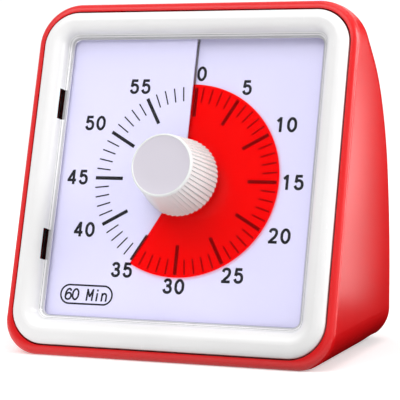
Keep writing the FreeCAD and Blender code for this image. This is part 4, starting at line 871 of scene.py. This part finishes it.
# One rib as shares of the ring's radius: its narrow groove, then its slope to the next groove.
RIB_STEPS = (0.946, 1.0, 0.995, 0.990, 0.985, 0.980, 0.975, 0.969)
RIB_FACETS = len(RIB_STEPS)
KNOB_WHITE = (0.86, 0.88, 0.87)
KNOB_SHADE = (0.82, 0.84, 0.83)
KNOB_FRONT_TONE = (0.70, 0.66, 0.74, 1.0)
KNOB_FRONT_PAINT = 7.62 * MM
KNOB_FRONT_LEVEL = 12.0 * MM
KNOB_SMOOTHING = math.radians(28.0)
# Rings of the knob from its bore over the rim to the front: radius, height, ribbed or plain.
KNOB_RINGS = (
    (1.50, 8.50, "plain"),
    (1.50, -1.50, "plain"),
    (3.40, -1.50, "plain"),
    (3.40, 3.50, "plain"),
    (7.60, 3.50, "plain"),
    (7.60, -1.45, "plain"),
    (7.80, -1.50, "plain"),
    (10.38, -1.50, "ribbed"),
    (10.38, -1.44, "ribbed"),
    (8.26, 11.62, "ribbed"),
    (8.28, 11.68, "plain"),
    (8.24, 11.96, "plain"),
    (8.14, 12.22, "plain"),
    (8.00, 12.40, "plain"),
    (7.84, 12.48, "plain"),
    (7.74, 12.48, "plain"),
    (7.66, 12.40, "plain"),
    (7.60, 12.30, "plain"),
    (7.50, 12.28, "plain"),
    (4.00, 12.30, "plain"),
    (1.00, 12.31, "plain"),
)

let_go()
before_radius, before_height = KNOB_RINGS[0][:2]
bpy.ops.mesh.primitive_circle_add(
    vertices=RIB_FACETS * KNOB_RIBS,
    radius=before_radius * MM,
    fill_type="NOTHING",
    location=(0.0, 0.0, 0.0),
)
knob = named("ribbed_knob")
bpy.ops.object.mode_set(mode="EDIT")
bpy.ops.mesh.select_all(action="SELECT")
bpy.ops.transform.translate(value=(0.0, 0.0, before_height * MM))
for radius, height, kind in KNOB_RINGS[1:]:
    bpy.ops.mesh.extrude_region_move(
        TRANSFORM_OT_translate={"value": (0.0, 0.0, (height - before_height) * MM)}
    )
    grow = radius / before_radius
    bpy.ops.transform.resize(value=(grow, grow, 1.0), center_override=(0.0, 0.0, height * MM))
    before_radius, before_height = radius, height
bpy.ops.mesh.edge_face_add()
bpy.ops.object.mode_set(mode="OBJECT")
corners = RIB_FACETS * KNOB_RIBS
for ring_index, (radius, height, kind) in enumerate(KNOB_RINGS):
    if kind == "ribbed":
        for vertex in knob.data.vertices[ring_index * corners:(ring_index + 1) * corners]:
            turn = round(math.atan2(vertex.co.y, vertex.co.x) / (2.0 * math.pi) * corners)
            share = RIB_STEPS[turn % RIB_FACETS]
            vertex.co.x *= share
            vertex.co.y *= share
let_go()
knob.select_set(True)
bpy.context.view_layer.objects.active = knob
bpy.ops.object.mode_set(mode="EDIT")
bpy.ops.mesh.select_all(action="SELECT")
bpy.ops.mesh.normals_make_consistent(inside=False)
bpy.ops.object.mode_set(mode="OBJECT")
bpy.ops.object.shade_smooth_by_angle(angle=KNOB_SMOOTHING)
knob.data.transform(DIAL_TO_DESK)
knob_white, tree, shader, shades = moulded(
    "knob_white_abs", KNOB_WHITE, KNOB_SHADE, 0.34, grain=11000.0, bump=0.08
)
# The sunk front has a cooler satin tone, up to its rim.
split = stand_on_face(tree, DIAL_TO_DESK.translation)
flat = put(tree, "ShaderNodeCombineXYZ")
radius = put(tree, "ShaderNodeVectorMath", {"operation": "LENGTH"})
inside = put(tree, "ShaderNodeMath", {"operation": "LESS_THAN"})
inside.inputs[1].default_value = KNOB_FRONT_PAINT
above = put(tree, "ShaderNodeMath", {"operation": "GREATER_THAN"})
above.inputs[1].default_value = KNOB_FRONT_LEVEL
both = put(tree, "ShaderNodeMath", {"operation": "MULTIPLY"})
sprayed = tones(tree, None, KNOB_FRONT_TONE)
wire(
    tree,
    (split, "X", flat, "X"),
    (split, "Y", flat, "Y"),
    (flat, "Vector", radius, 0),
    (radius, "Value", inside, 0),
    (split, "Z", above, 0),
    (inside, 0, both, 0),
    (above, 0, both, 1),
    (both, 0, sprayed, "Factor"),
    (shades, "Result", sprayed, "A"),
    (sprayed, "Result", shader, "Base Color"),
)
knob.data.materials.append(knob_white)
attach(knob, "knob")
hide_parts("knob")


# ---------------------------------------------------------------------------------------------
# Shaft, clutch spring, zero cam and zero contact. A turned steel shaft carries the knob and the
# disc; its spring washer presses the centre wheel, and its cam opens the zero contact's leaf.
# ---------------------------------------------------------------------------------------------
# Drawn metal: fine long streaks, and cloudier patches where it has been handled.
drawn_metal, source, result = new_group(
    "drawn_metal", {"Fineness": 3000.0, "Lean": (0.0, 0.0, 0.0)}, ("Streak", "Cloud")
)
place = put(drawn_metal, "ShaderNodeTexCoord")
turn = put(drawn_metal, "ShaderNodeMapping", values={"Scale": (1.0, 1.0, 0.05)})
streaks = put(drawn_metal, "ShaderNodeTexNoise", values={"Detail": 4.0})
clouds = put(drawn_metal, "ShaderNodeTexNoise", values={"Scale": 260.0, "Detail": 4.0})
wire(
    drawn_metal,
    (place, "Object", turn, "Vector"),
    (source, "Lean", turn, "Rotation"),
    (turn, "Vector", streaks, "Vector"),
    (source, "Fineness", streaks, "Scale"),
    (place, "Object", clouds, "Vector"),
    (streaks, "Fac", result, "Streak"),
    (clouds, "Fac", result, "Cloud"),
)


def metal(name, colour, tarnish, rough, fineness=3000.0, bump=0.12):
    """Make a metal with drawn streaks in its bump and gloss and tarnish in its colour."""
    material, tree, shader = new_material(name, {"Metallic": 1.0})
    skin = use_group(tree, drawn_metal, {"Fineness": fineness, "Lean": (1.286, 0.0, 0.0)})
    shades = tones(tree, (*colour, 1.0), (*tarnish, 1.0))
    even = put(tree, "ShaderNodeMapRange", values={"From Min": 0.45, "From Max": 0.75})
    wire(
        tree,
        (skin, "Cloud", even, "Value"),
        (even, "Result", shades, "Factor"),
        (shades, "Result", shader, "Base Color"),
    )
    glosses = (rough, min(1.0, rough + 0.2))
    roughen(tree, shader, (skin, "Streak"), glosses, (skin, "Streak"), (bump, 0.00001))
    return material


shaft_steel = metal("turned_steel", (0.62, 0.62, 0.63), (0.48, 0.48, 0.49), 0.22)
spring_steel = metal("spring_steel", (0.50, 0.50, 0.52), (0.36, 0.37, 0.42), 0.28)
contact_brass = metal("phosphor_bronze", (0.78, 0.55, 0.28), (0.60, 0.38, 0.18), 0.25)
dress(shaft_steel, "knob_shaft")
dress(spring_steel, "clutch_spring")
dress(contact_brass, "zero_contact")

cam_black, tree, shader, shades = moulded(
    "cam_acetal", (0.030, 0.030, 0.032), (0.020, 0.020, 0.022), 0.40, bump=0.12
)
dress(cam_black, "zero_cam")


# ---------------------------------------------------------------------------------------------
# Movement case and gear train. Two black moulded halves hold a brass centre wheel and white
# nylon wheels, each turned or moulded round its own arbor, and the stepper's rotor.
# ---------------------------------------------------------------------------------------------
case_black, tree, shader, shades = moulded(
    "case_black_abs", (0.022, 0.022, 0.024), (0.014, 0.014, 0.016), 0.46, grain=5000.0, bump=0.3
)
dress(case_black, "movement_case_front", "movement_case_back")

# Turning marks: fine rings about an arbor that stands square to the dial.
turning_marks, source, result = new_group(
    "turning_marks", {"Arbor": (0.0, 0.0, 0.0), "Rings": 1500.0}, ("Ring", "Cloud")
)
place = put(turning_marks, "ShaderNodeTexCoord")
about = put(
    turning_marks,
    "ShaderNodeMapping",
    {"vector_type": "TEXTURE"},
    {"Rotation": (math.pi / 2.0 - LEAN, 0.0, 0.0)},
)
rings = put(
    turning_marks,
    "ShaderNodeTexWave",
    {"wave_type": "RINGS", "rings_direction": "Z"},
    {"Distortion": 0.6, "Detail": 2.0, "Detail Scale": 2.0},
)
clouds = put(turning_marks, "ShaderNodeTexNoise", values={"Scale": 320.0, "Detail": 4.0})
wire(
    turning_marks,
    (place, "Object", about, "Vector"),
    (source, "Arbor", about, "Location"),
    (about, "Vector", rings, "Vector"),
    (source, "Rings", rings, "Scale"),
    (place, "Object", clouds, "Vector"),
    (rings, "Fac", result, "Ring"),
    (clouds, "Fac", result, "Cloud"),
)


def wheel_finish(name, node, colour, deep, rough, metallic, rings):
    """Finish a wheel with rings about its own arbor, which is the middle of its box."""
    low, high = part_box(node)
    material, tree, shader = new_material(name, {"Metallic": metallic})
    skin = use_group(
        tree, turning_marks, {"Arbor": tuple((low + high) / 2.0), "Rings": rings}
    )
    shades = tones(tree, (*deep, 1.0), (*colour, 1.0))
    wire(
        tree,
        (skin, "Cloud", shades, "Factor"),
        (shades, "Result", shader, "Base Color"),
    )
    roughen(tree, shader, (skin, "Ring"), (rough, rough + 0.15), (skin, "Ring"), (0.15, 0.00001))
    dress(material, node)


WHEEL_BRASS = ((0.80, 0.60, 0.26), (0.66, 0.47, 0.18), 0.24, 1.0, 1800.0)
WHEEL_NYLON = ((0.82, 0.82, 0.80), (0.74, 0.74, 0.71), 0.42, 0.0, 900.0)
wheel_finish("centre_wheel_brass", "center_wheel", *WHEEL_BRASS)
for wheel in ("third_wheel", "fourth_wheel", "fifth_wheel"):
    wheel_finish(wheel + "_nylon", wheel, *WHEEL_NYLON)
wheel_finish("rotor_pinion_nylon", "rotor_pinion", *WHEEL_NYLON)
wheel_finish(
    "rotor_ferrite", "rotor_magnet", (0.075, 0.075, 0.080), (0.045, 0.045, 0.05), 0.5, 0.3, 700.0
)


# ---------------------------------------------------------------------------------------------
# Stepper coil. A stamped silicon-steel stator closes its circuit through the coil's core; the
# nylon bobbin is wound with enamelled copper, whose turns run round it side by side.
# ---------------------------------------------------------------------------------------------
stator_steel = metal("stator_steel", (0.42, 0.43, 0.45), (0.32, 0.33, 0.36), 0.35, 1800.0, 0.2)
dress(stator_steel, "stator", "coil_core")
bobbin_nylon, tree, shader, shades = moulded(
    "bobbin_nylon", (0.10, 0.23, 0.13), (0.08, 0.19, 0.11), 0.45, bump=0.12
)
dress(bobbin_nylon, "coil_bobbin")

enamelled_copper, tree, shader = new_material(
    "enamelled_copper", {"Metallic": 0.9, "Coat Weight": 0.4, "Coat Roughness": 0.12}
)
place = put(tree, "ShaderNodeTexCoord")
turns = put(
    tree,
    "ShaderNodeTexWave",
    {"wave_type": "BANDS", "bands_direction": "X"},
    {"Scale": 1600.0, "Distortion": 0.8, "Detail": 2.0},
)
enamel = tones(tree, (0.30, 0.075, 0.028, 1.0), (0.80, 0.29, 0.12, 1.0))
wire(
    tree,
    (place, "Object", turns, "Vector"),
    (turns, "Fac", enamel, "Factor"),
    (enamel, "Result", shader, "Base Color"),
)
roughen(tree, shader, (turns, "Fac"), (0.38, 0.22), (turns, "Fac"), (0.8, 0.00005))
dress(enamelled_copper, "coil_winding")


# ---------------------------------------------------------------------------------------------
# Circuit board and its parts. Glass-fibre board under green solder resist with copper tracks,
# a black resin dome over the chip, a tinned crystal can and a sleeved capacitor.
# ---------------------------------------------------------------------------------------------
board_green, tree, shader = new_material(
    "solder_resist_green", {"Coat Weight": 0.5, "Coat Roughness": 0.15}
)
place = put(tree, "ShaderNodeTexCoord")
square = put(
    tree,
    "ShaderNodeMapping",
    {"vector_type": "TEXTURE"},
    {"Rotation": (math.pi / 2.0 - LEAN, 0.0, 0.0)},
)
tracks = put(
    tree,
    "ShaderNodeTexVoronoi",
    {"feature": "DISTANCE_TO_EDGE"},
    {"Scale": 210.0, "Randomness": 0.55},
)
copper = put(tree, "ShaderNodeMapRange", values={"From Min": 0.10, "From Max": 0.04})
weave = put(
    tree,
    "ShaderNodeTexWave",
    {"wave_type": "BANDS", "bands_direction": "DIAGONAL"},
    {"Scale": 1400.0, "Distortion": 1.0},
)
resist = tones(tree, (0.010, 0.085, 0.030, 1.0), (0.035, 0.190, 0.060, 1.0))
wire(
    tree,
    (place, "Object", square, "Vector"),
    (square, "Vector", tracks, "Vector"),
    (square, "Vector", weave, "Vector"),
    (tracks, "Distance", copper, "Value"),
    (copper, "Result", resist, "Factor"),
    (resist, "Result", shader, "Base Color"),
)
roughen(tree, shader, (weave, "Fac"), (0.35, 0.28), (copper, "Result"), (0.5, 0.00003))
dress(board_green, "circuit_board")

chip_resin, tree, shader, shades = moulded(
    "chip_resin", (0.012, 0.012, 0.013), (0.006, 0.006, 0.007), 0.25, grain=1200.0, bump=0.25
)
sleeve_blue, tree, shader, shades = moulded(
    "capacitor_sleeve", (0.018, 0.030, 0.075), (0.012, 0.022, 0.058), 0.32, bump=0.08
)
buzzer_black, tree, shader, shades = moulded(
    "buzzer_resin", (0.020, 0.020, 0.020), (0.012, 0.012, 0.012), 0.50, bump=0.2
)
tinned_can = metal("tinned_can", (0.72, 0.72, 0.70), (0.58, 0.58, 0.57), 0.26, 2400.0)
dress(chip_resin, "controller_chip")
dress(sleeve_blue, "capacitor")
dress(buzzer_black, "buzzer")
dress(tinned_can, "crystal_can")


# ---------------------------------------------------------------------------------------------
# Battery bay. One AA cell in a plain shrunk jacket, dark with a bright band at its positive
# end, between a nickel-plated spring and a nickel-plated plate.
# ---------------------------------------------------------------------------------------------
CELL_BAND_X = 12.0 * MM
CELL_STEEL_X = 24.1 * MM

cell_jacket, tree, shader = new_material(
    "cell_jacket", {"Coat Weight": 0.6, "Coat Roughness": 0.08}
)
place = put(tree, "ShaderNodeTexCoord")
split = put(tree, "ShaderNodeSeparateXYZ")
wrap = put(tree, "ShaderNodeTexNoise", values={"Scale": 700.0, "Detail": 4.0})
band = put(tree, "ShaderNodeMath", {"operation": "GREATER_THAN"})
band.inputs[1].default_value = CELL_BAND_X
steel_end = put(tree, "ShaderNodeMath", {"operation": "GREATER_THAN"})
steel_end.inputs[1].default_value = CELL_STEEL_X
print_tone = tones(tree, (0.020, 0.024, 0.032, 1.0), (0.62, 0.60, 0.56, 1.0))
bare = tones(tree, None, (0.66, 0.66, 0.65, 1.0))
wire(
    tree,
    (place, "Object", split, "Vector"),
    (place, "Object", wrap, "Vector"),
    (split, "X", band, 0),
    (split, "X", steel_end, 0),
    (band, 0, print_tone, "Factor"),
    (print_tone, "Result", bare, "A"),
    (steel_end, 0, bare, "Factor"),
    (steel_end, 0, shader, "Metallic"),
    (bare, "Result", shader, "Base Color"),
)
roughen(tree, shader, (wrap, "Fac"), (0.24, 0.38), (wrap, "Fac"), (0.1, 0.00003))
dress(cell_jacket, "battery")

contact_nickel = metal("contact_nickel", (0.68, 0.65, 0.60), (0.52, 0.49, 0.44), 0.22)
dress(contact_nickel, "battery_contact_spring", "battery_contact_plate")


# ---------------------------------------------------------------------------------------------
# Volume switch. A small slide switch with a folded steel shell behind the housing, worked by a
# black ribbed slider in a slot of the back.
# ---------------------------------------------------------------------------------------------
switch_steel = metal("switch_steel", (0.60, 0.60, 0.60), (0.46, 0.46, 0.47), 0.30)
slider_black, tree, shader, shades = moulded(
    "slider_black_abs", (0.028, 0.028, 0.030), (0.018, 0.018, 0.020), 0.42, bump=0.2
)
dress(switch_steel, "volume_switch_body")
dress(slider_black, "volume_slider")


# ---------------------------------------------------------------------------------------------
# Screws and leads. Zinc-plated pan-head screws draw the housing, the movement and the board
# together; two PVC leads run from the battery contacts to the board.
# ---------------------------------------------------------------------------------------------
zinc_plate = metal("zinc_plated_steel", (0.60, 0.61, 0.62), (0.50, 0.50, 0.46), 0.28)
dress(zinc_plate, "housing_screws", "movement_screws", "board_screws")
lead_red, tree, shader, shades = moulded(
    "lead_red_pvc", (0.55, 0.010, 0.010), (0.45, 0.008, 0.008), 0.38, bump=0.1
)
lead_black, tree, shader, shades = moulded(
    "lead_black_pvc", (0.020, 0.020, 0.020), (0.012, 0.012, 0.012), 0.38, bump=0.1
)
dress(lead_red, "battery_lead_red")
dress(lead_black, "battery_lead_black")
